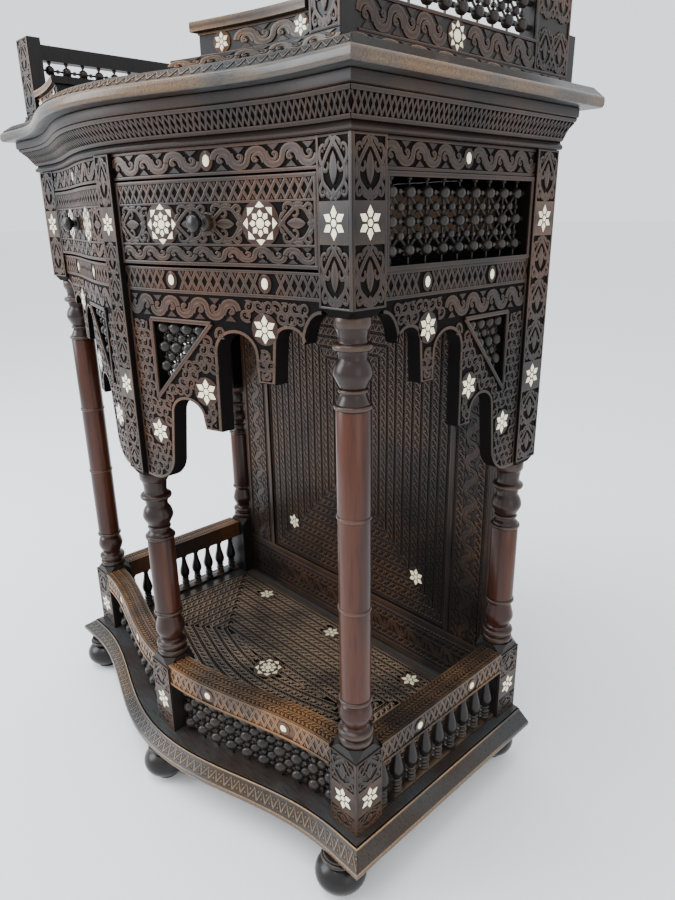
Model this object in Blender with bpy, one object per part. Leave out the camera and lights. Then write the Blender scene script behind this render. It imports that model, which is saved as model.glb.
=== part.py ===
"""Carved stand-cabinet with a serpentine front: columns, ball lattices, two drawers.

Metres, +Z up.  The origin is on the floor, under the middle of the object's box.
The front looks along -Y.  Right is +X.
"""
import math

import bmesh
import bpy
from mathutils import Vector

# ---------------------------------------------------------------- driving dimensions
CASE_WIDTH = 0.740            # over the corner posts
CASE_DEPTH = 0.375            # corner post face to the back
CASE_BOW = 0.066              # how far the middle of the front swells forward
BOARD_BOW = 0.073             # the same swell on the plinth and the top slab
BOW_SPAN = 0.348              # half length of the swell, measured along X
BOW_PARTS = 24                # flats along the whole curved front
GAP = 0.0003                  # clearance between pieces that touch

FOOT_RADIUS = 0.036
PLINTH_BOTTOM = 0.063
PLINTH_LIP = 0.072
PLINTH_TOP = 0.088
PLINTH_PROJECTION = 0.0324
LEDGE_PROJECTION = 0.011
FLOOR_POCKET = 0.008          # the floor board is let into the plinth by this much

PEDESTAL_TOP = 0.221
PEDESTAL_SIZE = 0.0485
GALLERY_RAIL_BOTTOM = 0.179
GALLERY_RAIL_TOP = 0.2125
GALLERY_RAIL_WIDTH = 0.034
BALUSTER_COUNT = 9

TALL_COLUMN_TOP = 0.7765
SHORT_COLUMN_TOP = 0.529
CASE_TOP = 0.9515
FRIEZE_BOTTOM = 0.921
DRAWER_TOP = 0.9185
DRAWER_BOTTOM = 0.8235
RAIL_TOP = 0.820
RAIL_BOTTOM = 0.790
BOARD_THICKNESS = 0.018
MIDDLE_POST_WIDTH = 0.037
PANEL_RECESS = 0.004          # boards stand this far back from the posts

CORNICE_TOP = 0.9985
SLAB_TOP = 1.0234
SLAB_PROJECTION = 0.0416
SLAB_REAR = 0.404
UPPER_TOP = 1.140             # top of the two side screens of the upper stage
SHELF_TOP = 1.067

HALF = CASE_WIDTH / 2
POST_INNER = HALF - PEDESTAL_SIZE
REAR_POST_FRONT = CASE_DEPTH - PEDESTAL_SIZE
MIDDLE_FACE = -CASE_BOW - 0.0035

# ---------------------------------------------------------------- box centre
# The design is drawn from the front corner posts' face; everything is moved back
# by this much at the end, so that the origin is the middle of the object's box.
FRONT_MOST = -BOARD_BOW - SLAB_PROJECTION
ORIGIN_SHIFT = -(FRONT_MOST + SLAB_REAR) / 2

WOOD = (0.045, 0.026, 0.018, 1.0)
WOOD_WARM = (0.075, 0.036, 0.021, 1.0)
MAHOGANY = (0.17, 0.052, 0.024, 1.0)
LATTICE_WOOD = (0.028, 0.018, 0.014, 1.0)
DRAWER_WOOD = (0.24, 0.14, 0.075, 1.0)


def clear_scene():
    for item in list(bpy.data.objects):
        bpy.data.objects.remove(item, do_unlink=True)


def finish_object(name, mesh_data, colour, roughness=0.5, smooth=False, helper=False):
    """Turn a closed bmesh into a named object with its own material."""
    bmesh.ops.recalc_face_normals(mesh_data, faces=mesh_data.faces)
    if mesh_data.calc_volume(signed=True) < 0:
        bmesh.ops.reverse_faces(mesh_data, faces=mesh_data.faces)
    mesh = bpy.data.meshes.new(name)
    mesh_data.to_mesh(mesh)
    mesh_data.free()
    if smooth:
        mesh.shade_smooth()
        mesh.set_sharp_from_angle(angle=math.radians(35))
    item = bpy.data.objects.new(name, mesh)
    bpy.context.scene.collection.objects.link(item)
    item.location = (0.0, ORIGIN_SHIFT, 0.0)
    if helper:
        item.hide_render = True
        item.display_type = 'WIRE'
        return item
    finish = bpy.data.materials.new(name)
    finish.use_nodes = True
    shader = finish.node_tree.nodes["Principled BSDF"]
    shader.inputs["Base Color"].default_value = colour
    shader.inputs["Roughness"].default_value = roughness
    mesh.materials.append(finish)
    return item


def swell(x, depth):
    """How far forward the curved front stands at x."""
    reach = min(abs(x), BOW_SPAN)
    return depth * 0.5 * (1 + math.cos(math.pi * reach / BOW_SPAN))


def stack_loops(loops, closed=True):
    """Bridge rings of points that all have the same count, then cap both ends."""
    mesh = bmesh.new()
    rings = [[mesh.verts.new(point) for point in loop] for loop in loops]
    count = len(rings[0])
    spans = count if closed else count - 1
    for lower, upper in zip(rings, rings[1:]):
        for i in range(spans):
            j = (i + 1) % count
            mesh.faces.new((lower[i], lower[j], upper[j], upper[i]))
    mesh.faces.new(rings[0])
    mesh.faces.new(rings[-1])
    return mesh


def cuboid(mesh, low, high):
    """Add a box between two corners to a bmesh."""
    made = bmesh.ops.create_cube(mesh, size=1.0)
    size = Vector(high) - Vector(low)
    middle = (Vector(high) + Vector(low)) / 2
    bmesh.ops.scale(mesh, vec=size, verts=made["verts"])
    bmesh.ops.translate(mesh, vec=middle, verts=made["verts"])


def union(item, helper):
    """Join a helper solid to an object."""
    joined = item.modifiers.new("join_" + helper.name, 'BOOLEAN')
    joined.operation = 'UNION'
    joined.solver = 'EXACT'
    joined.object = helper


def turned_mesh(profile, segments, centre=(0.0, 0.0)):
    """A turned piece from (radius, height) points, bottom to top."""
    loops = []
    for radius, height in profile:
        ring = []
        for i in range(segments):
            angle = 2 * math.pi * i / segments
            ring.append((centre[0] + radius * math.cos(angle),
                         centre[1] + radius * math.sin(angle), height))
        loops.append(ring)
    return stack_loops(loops)


def flat_plate(outline, holes, depth):
    """A plate in the XZ plane, depth thick towards +Y, from an outline with holes."""
    mesh = bmesh.new()
    edges = []
    for loop in [outline] + holes:
        points = [mesh.verts.new((x, 0.0, z)) for x, z in loop]
        for i, point in enumerate(points):
            edges.append(mesh.edges.new((point, points[(i + 1) % len(points)])))
    bmesh.ops.triangle_fill(mesh, use_beauty=True, use_dissolve=False, edges=edges)
    pushed = bmesh.ops.extrude_face_region(mesh, geom=mesh.faces[:])
    moved = [part for part in pushed["geom"] if isinstance(part, bmesh.types.BMVert)]
    bmesh.ops.translate(mesh, vec=(0.0, depth, 0.0), verts=moved)
    return mesh


def grille_plate(x_lines, z_lines, depth):
    """A pierced plate: cells with odd row and odd column are left open."""
    mesh = bmesh.new()
    grid = [[mesh.verts.new((x, 0.0, z)) for z in z_lines] for x in x_lines]
    for i in range(len(x_lines) - 1):
        for j in range(len(z_lines) - 1):
            if i % 2 == 1 and j % 2 == 1:
                continue
            mesh.faces.new((grid[i][j], grid[i + 1][j], grid[i + 1][j + 1], grid[i][j + 1]))
    pushed = bmesh.ops.extrude_face_region(mesh, geom=mesh.faces[:])
    moved = [part for part in pushed["geom"] if isinstance(part, bmesh.types.BMVert)]
    bmesh.ops.translate(mesh, vec=(0.0, depth, 0.0), verts=moved)
    return mesh


def bar_lines(start, end, openings, bar):
    """Edges of bars and openings along a line, bars first and last."""
    hole = (end - start - (openings + 1) * bar) / openings
    lines = [start]
    for _ in range(openings):
        lines.append(lines[-1] + bar)
        lines.append(lines[-1] + hole)
    lines.append(end)
    return lines


def bend_to_front(mesh, face_y):
    """Slice a flat plate into narrow strips and lay it along the curved front."""
    for i in range(1, BOW_PARTS):
        x = -BOW_SPAN + 2 * BOW_SPAN * i / BOW_PARTS
        whole = mesh.verts[:] + mesh.edges[:] + mesh.faces[:]
        bmesh.ops.bisect_plane(mesh, geom=whole, dist=0.00001,
                               plane_co=(x, 0, 0), plane_no=(1, 0, 0))
    for point in mesh.verts:
        point.co.y += face_y - swell(point.co.x, CASE_BOW)


def turn_to_side(mesh, side, outer_x):
    """Stand a flat plate on one side of the case: its X becomes Y, its depth goes inwards."""
    for point in mesh.verts:
        along, depth = point.co.x, point.co.y
        point.co.x = side * (outer_x - depth)
        point.co.y = along


def mirror_x(outline, side):
    return [(side * x, z) for x, z in outline]


# ---------------------------------------------------------------- base
def board_outline(projection, rear, z, bow=BOARD_BOW):
    """Plan of the plinth or slab: straight sides and back, serpentine front."""
    side = HALF + projection
    points = [(side, rear, z), (side, -projection, z)]
    for i in range(BOW_PARTS + 1):
        x = BOW_SPAN - 2 * BOW_SPAN * i / BOW_PARTS
        points.append((x, -projection - swell(x, bow), z))
    points += [(-side, -projection, z), (-side, rear, z)]
    return points


def floor_outline(inset, z):
    """Plan of the carved floor board between the pedestals."""
    side = POST_INNER - inset
    front = GALLERY_RAIL_WIDTH + inset
    points = [(side, REAR_POST_FRONT + 0.020 - inset, z)]
    for i in range(BOW_PARTS + 1):
        x = side * (1 - 2 * i / BOW_PARTS)
        points.append((x, front - swell(x, CASE_BOW), z))
    points.append((-side, REAR_POST_FRONT + 0.020 - inset, z))
    points.append((0.0, REAR_POST_FRONT + 0.020 - inset, z))
    return points


def pocket_outline(z):
    """The same outline again, resampled to the plinth's point count."""
    floor = floor_outline(0.0, z)
    rear_right, front, rear_left = floor[0], floor[1:-2], floor[-2]
    return [rear_right, (front[0][0], front[0][1] + 0.001, z)] + front + \
        [(front[-1][0], front[-1][1] + 0.001, z), rear_left]


def make_plinth():
    rear = CASE_DEPTH
    loops = [board_outline(PLINTH_PROJECTION - 0.004, rear, PLINTH_BOTTOM),
             board_outline(PLINTH_PROJECTION, rear, PLINTH_BOTTOM + 0.003),
             board_outline(PLINTH_PROJECTION, rear, PLINTH_LIP),
             board_outline(LEDGE_PROJECTION, rear, PLINTH_TOP),
             pocket_outline(PLINTH_TOP),
             pocket_outline(PLINTH_TOP - FLOOR_POCKET)]
    finish_object("plinth", stack_loops(loops), WOOD)


def make_floor_board():
    loops = [floor_outline(GAP * 2, PLINTH_TOP - FLOOR_POCKET + GAP),
             floor_outline(GAP * 2, PLINTH_TOP - 0.0005)]
    finish_object("floor_board", stack_loops(loops), WOOD_WARM)


FOOT_PLACES = {
    "foot_front_left": (-0.352, -0.013),
    "foot_front_middle": (0.0, -0.078),
    "foot_front_right": (0.352, -0.013),
    "foot_rear_left": (-0.352, 0.345),
    "foot_rear_right": (0.352, 0.345),
}


def foot_profile():
    top = PLINTH_BOTTOM - GAP
    ball_middle = 0.027
    points = [(0.020, 0.0)]
    for i in range(1, 6):
        angle = math.radians(-58 + 116 * i / 6)
        points.append((FOOT_RADIUS * math.cos(angle), ball_middle + 0.026 * math.sin(angle)))
    points += [(0.021, 0.0500), (0.027, 0.0530), (0.027, 0.0570), (0.023, top)]
    return points


def make_feet():
    for name, place in FOOT_PLACES.items():
        mesh = turned_mesh(foot_profile(), 14, place)
        finish_object(name, mesh, WOOD, 0.35, smooth=True)


# ---------------------------------------------------------------- pedestals and columns
CORNER_X = HALF - PEDESTAL_SIZE / 2
FRONT_Y = PEDESTAL_SIZE / 2
REAR_Y = CASE_DEPTH - PEDESTAL_SIZE / 2
MIDDLE_Y = MIDDLE_FACE + PEDESTAL_SIZE / 2
COLUMN_PLACES = {
    "front_left": (-CORNER_X, FRONT_Y),
    "front_middle": (0.0, MIDDLE_Y),
    "front_right": (CORNER_X, FRONT_Y),
    "rear_left": (-CORNER_X, REAR_Y),
    "rear_right": (CORNER_X, REAR_Y),
}
TALL = ("front_left", "front_right")


def square_ring(centre, half_x, half_y, cut, z):
    """A rectangle with its four corners cut off."""
    x, y = centre
    corners = [(half_x, half_y - cut), (half_x - cut, half_y), (-half_x + cut, half_y),
               (-half_x, half_y - cut), (-half_x, -half_y + cut), (-half_x + cut, -half_y),
               (half_x - cut, -half_y), (half_x, -half_y + cut)]
    return [(x + dx, y + dy, z) for dx, dy in corners]


def make_pedestals():
    half = PEDESTAL_SIZE / 2
    for place, centre in COLUMN_PLACES.items():
        loops = [square_ring(centre, half, half, 0.0012, PLINTH_TOP + GAP),
                 square_ring(centre, half, half, 0.0012, PEDESTAL_TOP - 0.013),
                 square_ring(centre, half - 0.001, half - 0.001, 0.014, PEDESTAL_TOP)]
        finish_object("pedestal_" + place, stack_loops(loops), WOOD)


def column_profile(top, rings):
    """Turned column: base discs, lower bulb, ringed shaft, upper bulb and cap."""
    base = PEDESTAL_TOP + GAP
    shaft_bottom, shaft_top, neck, bulb, torus = rings[:5]
    points = [(0.0215, base), (0.0225, base + 0.008), (0.0195, base + 0.011),
              (0.0235, base + 0.016), (0.0235, base + 0.021), (0.0160, base + 0.027),
              (0.0205, base + 0.034), (0.0226, base + 0.043), (0.0205, base + 0.053),
              (0.0160, shaft_bottom - 0.006), (0.0220, shaft_bottom), (0.0200, shaft_bottom + 0.003)]
    for ring in rings[5:]:
        points += [(0.0200, ring - 0.0035), (0.0218, ring), (0.0200, ring + 0.0035)]
    points += [(0.0200, shaft_top - 0.004), (0.0222, shaft_top), (0.0150, neck - 0.006),
               (0.0145, neck), (0.0190, bulb - 0.010), (0.0222, bulb), (0.0150, bulb + 0.016),
               (0.0229, torus - 0.003), (0.0229, torus + 0.003), (0.0170, torus + 0.010),
               (0.0205, top - 0.012), (0.0205, top - GAP)]
    return points


def make_columns():
    tall = (0.2875, 0.6767, 0.6950, 0.7145, 0.7436, 0.4213, 0.5432)
    short = (0.2950, 0.4245, 0.4400, 0.4593, 0.4900)
    for place, centre in COLUMN_PLACES.items():
        if place in TALL:
            profile = column_profile(TALL_COLUMN_TOP, tall)
        else:
            profile = column_profile(SHORT_COLUMN_TOP, short)
        mesh = turned_mesh(profile, 12, centre)
        finish_object("column_" + place, mesh, MAHOGANY, 0.3, smooth=True)


def make_posts():
    """Upper posts of the case; the middle and rear ones hang lower than the corners."""
    half = PEDESTAL_SIZE / 2
    sizes = {place: (half, half) for place in COLUMN_PLACES}
    sizes["front_middle"] = (MIDDLE_POST_WIDTH / 2, half - 0.002)
    for place, centre in COLUMN_PLACES.items():
        bottom = TALL_COLUMN_TOP if place in TALL else SHORT_COLUMN_TOP
        half_x, half_y = sizes[place]
        middle = (centre[0], centre[1] - (0.002 if place == "front_middle" else 0.0))
        loops = [square_ring(middle, half_x - 0.003, half_y - 0.003, 0.008, bottom),
                 square_ring(middle, half_x, half_y, 0.0008, bottom + 0.008),
                 square_ring(middle, half_x, half_y, 0.0008, CASE_TOP - GAP)]
        finish_object("post_" + place, stack_loops(loops), WOOD)


# ---------------------------------------------------------------- low gallery
FRONT_BAY = (PEDESTAL_SIZE / 2 + GAP, POST_INNER - GAP)
SIDE_BAY = (PEDESTAL_SIZE + GAP, REAR_POST_FRONT - GAP)


def rectangle(low_x, high_x, low_z, high_z):
    return [(low_x, low_z), (high_x, low_z), (high_x, high_z), (low_x, high_z)]


def make_gallery_rails():
    for side, label in ((-1, "left"), (1, "right")):
        outline = rectangle(*FRONT_BAY, GALLERY_RAIL_BOTTOM, GALLERY_RAIL_TOP)
        mesh = flat_plate(mirror_x(outline, side), [], GALLERY_RAIL_WIDTH)
        bend_to_front(mesh, 0.0)
        finish_object("gallery_rail_front_" + label, mesh, WOOD_WARM)
        outline = rectangle(*SIDE_BAY, GALLERY_RAIL_BOTTOM, GALLERY_RAIL_TOP)
        mesh = flat_plate(outline, [], GALLERY_RAIL_WIDTH)
        turn_to_side(mesh, side, HALF)
        finish_object("gallery_rail_side_" + label, mesh, WOOD_WARM)


def make_gallery_lattices():
    """Ball lattices of the two front bays, here as pierced screens of the same size."""
    bottom = PLINTH_TOP + GAP
    top = GALLERY_RAIL_BOTTOM - GAP
    for side, label in ((-1, "left"), (1, "right")):
        x_lines = bar_lines(FRONT_BAY[0] + GAP, FRONT_BAY[1] - GAP, 10, 0.012)
        z_lines = bar_lines(bottom, top, 3, 0.010)
        mesh = grille_plate([side * x for x in x_lines], z_lines, 0.012)
        bend_to_front(mesh, 0.012)
        finish_object("gallery_lattice_" + label, mesh, LATTICE_WOOD)


def baluster_profile():
    low = PLINTH_TOP + 0.003
    high = GALLERY_RAIL_BOTTOM - GAP
    return [(0.0085, low), (0.0085, low + 0.006), (0.0060, low + 0.012), (0.0085, low + 0.018),
            (0.0055, low + 0.024), (0.0105, low + 0.036), (0.0095, low + 0.050),
            (0.0045, low + 0.074), (0.0075, high)]


def make_baluster_rows():
    """Vase balusters of the side bays, standing on one narrow sill."""
    for side, label in ((-1, "left"), (1, "right")):
        axis_x = side * (HALF - 0.014)
        sill = bmesh.new()
        sill_x = sorted((axis_x - 0.009, axis_x + 0.009))
        cuboid(sill, (sill_x[0], SIDE_BAY[0], PLINTH_TOP + GAP),
               (sill_x[1], SIDE_BAY[1], PLINTH_TOP + 0.005))
        row = finish_object("gallery_balusters_" + label, sill, LATTICE_WOOD)
        turned = bmesh.new()
        pitch = (SIDE_BAY[1] - SIDE_BAY[0]) / BALUSTER_COUNT
        for i in range(BALUSTER_COUNT):
            place = (axis_x, SIDE_BAY[0] + pitch * (i + 0.5))
            single = turned_mesh(baluster_profile(), 8, place)
            holder = bpy.data.meshes.new("single")
            single.to_mesh(holder)
            single.free()
            turned.from_mesh(holder)
            bpy.data.meshes.remove(holder)
        helper = finish_object("baluster_blanks_" + label, turned, LATTICE_WOOD, helper=True)
        union(row, helper)


# ---------------------------------------------------------------- back
BACK_FRONT = CASE_DEPTH - 0.023
BACK_THICKNESS = 0.018
BACK_HALF = POST_INNER - GAP
STILE_WIDTH = 0.085
BACK_BOTTOM = PLINTH_TOP + GAP
BACK_RAIL_HEIGHT = 0.095


def make_back():
    top = CASE_TOP - GAP
    inner = BACK_HALF - STILE_WIDTH
    outer = rectangle(-BACK_HALF, BACK_HALF, BACK_BOTTOM, CORNICE_TOP - GAP)
    opening = rectangle(-inner, inner, BACK_BOTTOM + BACK_RAIL_HEIGHT, top - 0.030)
    mesh = flat_plate(outer, [opening], BACK_THICKNESS)
    bmesh.ops.translate(mesh, vec=(0, BACK_FRONT, 0), verts=mesh.verts)
    finish_object("back_frame", mesh, WOOD)
    edge = GAP * 2
    panel = rectangle(-inner + edge, inner - edge, BACK_BOTTOM + BACK_RAIL_HEIGHT + edge,
                      top - 0.030 - edge)
    mesh = flat_plate(panel, [], 0.010)
    bmesh.ops.translate(mesh, vec=(0, BACK_FRONT + 0.004, 0), verts=mesh.verts)
    finish_object("back_panel", mesh, WOOD)


# ---------------------------------------------------------------- case fronts and sides
BAY_FRONT = (MIDDLE_POST_WIDTH / 2 + GAP, POST_INNER - GAP)
APRON_LENGTH = BAY_FRONT[1] - BAY_FRONT[0]


def arch(centre, half_width, spring, rise, steps=6):
    """Points over a pointed-oval arch from its near side to its far side."""
    points = []
    for i in range(steps + 1):
        angle = math.pi * (1 - i / steps)
        points.append((centre + half_width * math.cos(angle), spring + rise * math.sin(angle)))
    return points


def quarter(start, end, steps=4):
    """A quarter oval that leaves start level and arrives at end upright."""
    points = []
    for i in range(1, steps):
        angle = 0.5 * math.pi * i / steps
        points.append((start[0] + (end[0] - start[0]) * math.sin(angle),
                       end[1] + (start[1] - end[1]) * math.cos(angle)))
    return points


def apron_edge():
    """Lower edge of a bracket board, from the corner post towards the hanging post."""
    points = [(0.0, 0.777)]
    points += quarter((0.0, 0.777), (0.026, 0.742))
    points += arch(0.0470, 0.0200, 0.742, 0.0155)
    points += [(0.0710, 0.690), (0.0950, 0.690)]
    points += arch(0.1245, 0.0280, 0.722, 0.0250)
    points += [(0.1540, 0.620), (0.1790, 0.620)]
    points += arch(0.2065, 0.0255, 0.634, 0.0215)
    points += [(0.2390, 0.572)]
    drop = quarter((0.2830, 0.533), (0.2390, 0.572))
    points += drop[::-1]
    points += [(0.2830, 0.533), (APRON_LENGTH, 0.533)]
    return points


TRIANGLE = [(0.1580, 0.7560), (0.2570, 0.7560), (0.2570, 0.6530)]


def shrink(outline, amount):
    """Move an outline's points towards their middle."""
    middle = sum((Vector(point) for point in outline), Vector((0.0, 0.0))) / len(outline)
    points = []
    for point in outline:
        away = Vector(point) - middle
        points.append(tuple(middle + away * (1 - amount / away.length)))
    return points


def to_front(outline, side):
    return [(side * (BAY_FRONT[1] - u), z) for u, z in outline]


SIDE_LENGTH = SIDE_BAY[1] - SIDE_BAY[0]


def to_side(outline):
    stretch = SIDE_LENGTH / APRON_LENGTH
    return [(SIDE_BAY[0] + u * stretch, z) for u, z in outline]


def make_front_boards():
    for side, label in ((-1, "left"), (1, "right")):
        outline = rectangle(*BAY_FRONT, FRIEZE_BOTTOM, CASE_TOP - GAP)
        mesh = flat_plate(mirror_x(outline, side), [], BOARD_THICKNESS)
        bend_to_front(mesh, PANEL_RECESS / 2)
        finish_object("frieze_front_" + label, mesh, WOOD)
        outline = [(0.0, RAIL_TOP)] + apron_edge() + [(APRON_LENGTH, RAIL_TOP)]
        mesh = flat_plate(to_front(outline, side), [to_front(TRIANGLE, side)], BOARD_THICKNESS)
        bend_to_front(mesh, PANEL_RECESS)
        finish_object("apron_front_" + label, mesh, WOOD)


SCREEN_LOW = 0.8240
SCREEN_HIGH = 0.9150
SCREEN_STILE = 0.006


def make_side_boards():
    for side, label in ((-1, "left"), (1, "right")):
        outline = [(0.0, CASE_TOP - GAP)] + apron_edge() + [(APRON_LENGTH, CASE_TOP - GAP)]
        window = rectangle(SIDE_BAY[0] + SCREEN_STILE, SIDE_BAY[1] - SCREEN_STILE,
                           SCREEN_LOW, SCREEN_HIGH)
        mesh = flat_plate(to_side(outline), [window, to_side(TRIANGLE)], BOARD_THICKNESS)
        turn_to_side(mesh, side, HALF - PANEL_RECESS)
        finish_object("side_panel_" + label, mesh, WOOD)


def make_screens():
    """Ball lattices in the case sides, as pierced screens of the same size."""
    edge = GAP * 2
    for side, label in ((-1, "left"), (1, "right")):
        y_lines = bar_lines(SIDE_BAY[0] + SCREEN_STILE + edge,
                            SIDE_BAY[1] - SCREEN_STILE - edge, 9, 0.011)
        z_lines = bar_lines(SCREEN_LOW + edge, SCREEN_HIGH - edge, 3, 0.010)
        mesh = grille_plate(y_lines, z_lines, 0.012)
        turn_to_side(mesh, side, HALF - PANEL_RECESS - 0.004)
        finish_object("side_lattice_" + label, mesh, LATTICE_WOOD)


def make_triangle_lattices():
    """Small ball lattices in the bracket boards, with three openings each."""
    outline = shrink(TRIANGLE, 0.0015)
    corner_u, corner_z = TRIANGLE[1]
    cell, bar = 0.014, 0.009
    holes = []
    for column, row in ((0, 0), (1, 0), (0, 1)):
        high_u = corner_u - bar - column * (cell + bar)
        high_z = corner_z - bar - row * (cell + bar)
        holes.append(rectangle(high_u - cell, high_u, high_z - cell, high_z))
    for side, label in ((-1, "left"), (1, "right")):
        mesh = flat_plate(to_front(outline, side), [to_front(hole, side) for hole in holes], 0.010)
        bend_to_front(mesh, PANEL_RECESS + 0.004)
        finish_object("apron_lattice_front_" + label, mesh, LATTICE_WOOD)
        mesh = flat_plate(to_side(outline), [to_side(hole) for hole in holes], 0.010)
        turn_to_side(mesh, side, HALF - PANEL_RECESS - 0.004)
        finish_object("apron_lattice_side_" + label, mesh, LATTICE_WOOD)


# ---------------------------------------------------------------- drawers
DRAWER_LOW_X = BAY_FRONT[0] + 0.0010
DRAWER_HIGH_X = BAY_FRONT[1] - 0.0010
BOX_LOW_X = 0.030
BOX_HIGH_X = 0.308
BOX_REAR = 0.335
BOX_WALL = 0.008
KNOB_X = 0.169
STRIPS = 12


def make_drawer_housing():
    """Dust board with the middle divider and the outer guides, glued up as one piece."""
    reach = POST_INNER - GAP
    front = PANEL_RECESS + BOARD_THICKNESS + GAP
    points = [(reach, BACK_FRONT - GAP)]
    for i in range(BOW_PARTS + 1):
        x = reach * (1 - 2 * i / BOW_PARTS)
        y = front - swell(x, CASE_BOW)
        points.append((x, max(y, MIDDLE_Y + PEDESTAL_SIZE / 2 + GAP)))
    points.append((-reach, BACK_FRONT - GAP))
    loops = [[(x, y, z) for x, y in points] for z in (RAIL_TOP - 0.010, RAIL_TOP + 0.002)]
    board = finish_object("drawer_housing", stack_loops(loops), DRAWER_WOOD)
    divider = bmesh.new()
    cuboid(divider, (-0.009, 0.0, RAIL_TOP), (0.009, BACK_FRONT - 0.004, CASE_TOP - 0.001))
    union(board, finish_object("divider_blank", divider, DRAWER_WOOD, helper=True))
    guides = bmesh.new()
    for side in (-1, 1):
        ends = sorted((side * (BOX_HIGH_X + 0.0015), side * (reach - 0.001)))
        cuboid(guides, (ends[0], 0.055, RAIL_TOP), (ends[1], BACK_FRONT - 0.004, RAIL_TOP + 0.030))
    union(board, finish_object("guide_blanks", guides, DRAWER_WOOD, helper=True))


def tray_outline(low_x, high_x, front, rear, z, side):
    points = [(side * high_x, rear, z)]
    for i in range(STRIPS + 1):
        x = high_x + (low_x - high_x) * i / STRIPS
        points.append((side * x, front - swell(x, CASE_BOW), z))
    points.append((side * low_x, rear, z))
    return points


def knob_profile():
    """Profile of the pull along its own axis, from the drawer face outwards."""
    return [(0.0045, -0.001), (0.0095, 0.000), (0.0095, 0.0025), (0.0050, 0.0050), (0.0060, 0.0070),
            (0.0098, 0.0100), (0.0108, 0.0135), (0.0085, 0.0175), (0.0040, 0.0195)]


def make_drawers():
    face = PANEL_RECESS / 2
    box_front = face + BOARD_THICKNESS + GAP
    bottom, top = DRAWER_BOTTOM + 0.001, DRAWER_TOP - 0.014
    for side, label in ((-1, "left"), (1, "right")):
        slide = bpy.data.objects.new("drawer_slide_" + label, None)
        slide.location = (side * KNOB_X, ORIGIN_SHIFT, (DRAWER_TOP + DRAWER_BOTTOM) / 2)
        bpy.context.scene.collection.objects.link(slide)

        outline = rectangle(DRAWER_LOW_X, DRAWER_HIGH_X, DRAWER_BOTTOM, DRAWER_TOP)
        mesh = flat_plate(mirror_x(outline, side), [], BOARD_THICKNESS)
        bend_to_front(mesh, face)
        front = finish_object("drawer_front_" + label, mesh, WOOD)

        inner = (BOX_LOW_X + BOX_WALL, BOX_HIGH_X - BOX_WALL, box_front + BOX_WALL,
                 BOX_REAR - BOX_WALL)
        loops = [tray_outline(BOX_LOW_X, BOX_HIGH_X, box_front, BOX_REAR, bottom, side),
                 tray_outline(BOX_LOW_X, BOX_HIGH_X, box_front, BOX_REAR, top, side),
                 tray_outline(*inner, top, side),
                 tray_outline(*inner, bottom + 0.006, side)]
        box = finish_object("drawer_box_" + label, stack_loops(loops), DRAWER_WOOD, 0.7)

        mesh = turned_mesh(knob_profile(), 12)
        knob = finish_object("drawer_knob_" + label, mesh, WOOD, 0.3, smooth=True)
        knob_seat = face - swell(KNOB_X, CASE_BOW) - 0.0055
        for piece in (front, box):
            piece.parent = slide
            piece.location = (-side * KNOB_X, 0.0, -slide.location.z)
        knob.parent = slide
        knob.rotation_euler = (math.radians(90), 0.0, 0.0)
        knob.location = (0.0, knob_seat, 0.0)


# ---------------------------------------------------------------- cornice and top
def make_cornice():
    """Flared cornice on the front and both sides, swept along the serpentine plan."""
    section = [(-0.020, CASE_TOP + GAP), (0.004, CASE_TOP + GAP), (0.005, CASE_TOP + 0.006),
               (0.0025, CASE_TOP + 0.0105), (0.0225, 0.9880), (0.0245, 0.9890),
               (0.0245, CORNICE_TOP), (-0.020, CORNICE_TOP)]
    loops = []
    stations = board_outline(0.0, CASE_DEPTH, 0.0)
    for index in range(len(stations)):
        ring = []
        for projection, z in section:
            bow = CASE_BOW + (BOARD_BOW - CASE_BOW) * max(projection, 0.0) / SLAB_PROJECTION
            x, y, _ = board_outline(projection, CASE_DEPTH, z, bow)[index]
            ring.append((x, y, z))
        loops.append(ring)
    finish_object("cornice", stack_loops(loops), WOOD)


def make_top_slab():
    bottom = CORNICE_TOP + GAP
    section = [(0.0370, bottom), (SLAB_PROJECTION, bottom + 0.005), (SLAB_PROJECTION, bottom + 0.010),
               (0.0385, bottom + 0.014), (0.0255, SLAB_TOP)]
    loops = [board_outline(projection, SLAB_REAR, z) for projection, z in section]
    finish_object("top_slab", stack_loops(loops), WOOD)


# ---------------------------------------------------------------- upper stage
UPPER_OUTER = 0.3665
UPPER_REAR = 0.400
UPPER_BACK_FRONT = 0.3850
STEP_TOP = 1.0345
BAND_TOP = 1.0567
SCREEN_PLATE = 0.016


UPPER_POST_REAR = 0.0115
NOTCH = UPPER_POST_REAR + 0.0005


def wing_outline(low_x, high_x, screen_x, front, rear, z, side):
    """Plan of one level of a wing's base, notched round the front post."""
    points = [(side * screen_x, rear, z), (side * screen_x, NOTCH + 0.001, z)]
    points.append((side * high_x, NOTCH, z))
    return points + tray_outline(low_x, high_x, front, rear, z, side)[1:]


def make_wing_bases():
    """Stepped base under each side of the upper stage: step, carved band and shelf."""
    step = (0.150, 0.3685, 0.3685, -0.012, 0.3840)
    band = (0.182, 0.3220, 0.3500, -0.004, 0.3820)
    shelf = (0.177, 0.3224, 0.3500, -0.010, 0.3825)
    levels = [(*step, SLAB_TOP + GAP), (*step, STEP_TOP), (*band, STEP_TOP), (*band, BAND_TOP),
              (*shelf, BAND_TOP + 0.001), (*shelf, SHELF_TOP)]
    for side, label in ((-1, "left"), (1, "right")):
        loops = [wing_outline(*level, side) for level in levels]
        finish_object("upper_base_" + label, stack_loops(loops), WOOD_WARM)


UPPER_WINDOW = (0.0200, 0.3030, 1.0680, 1.1180)


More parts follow.
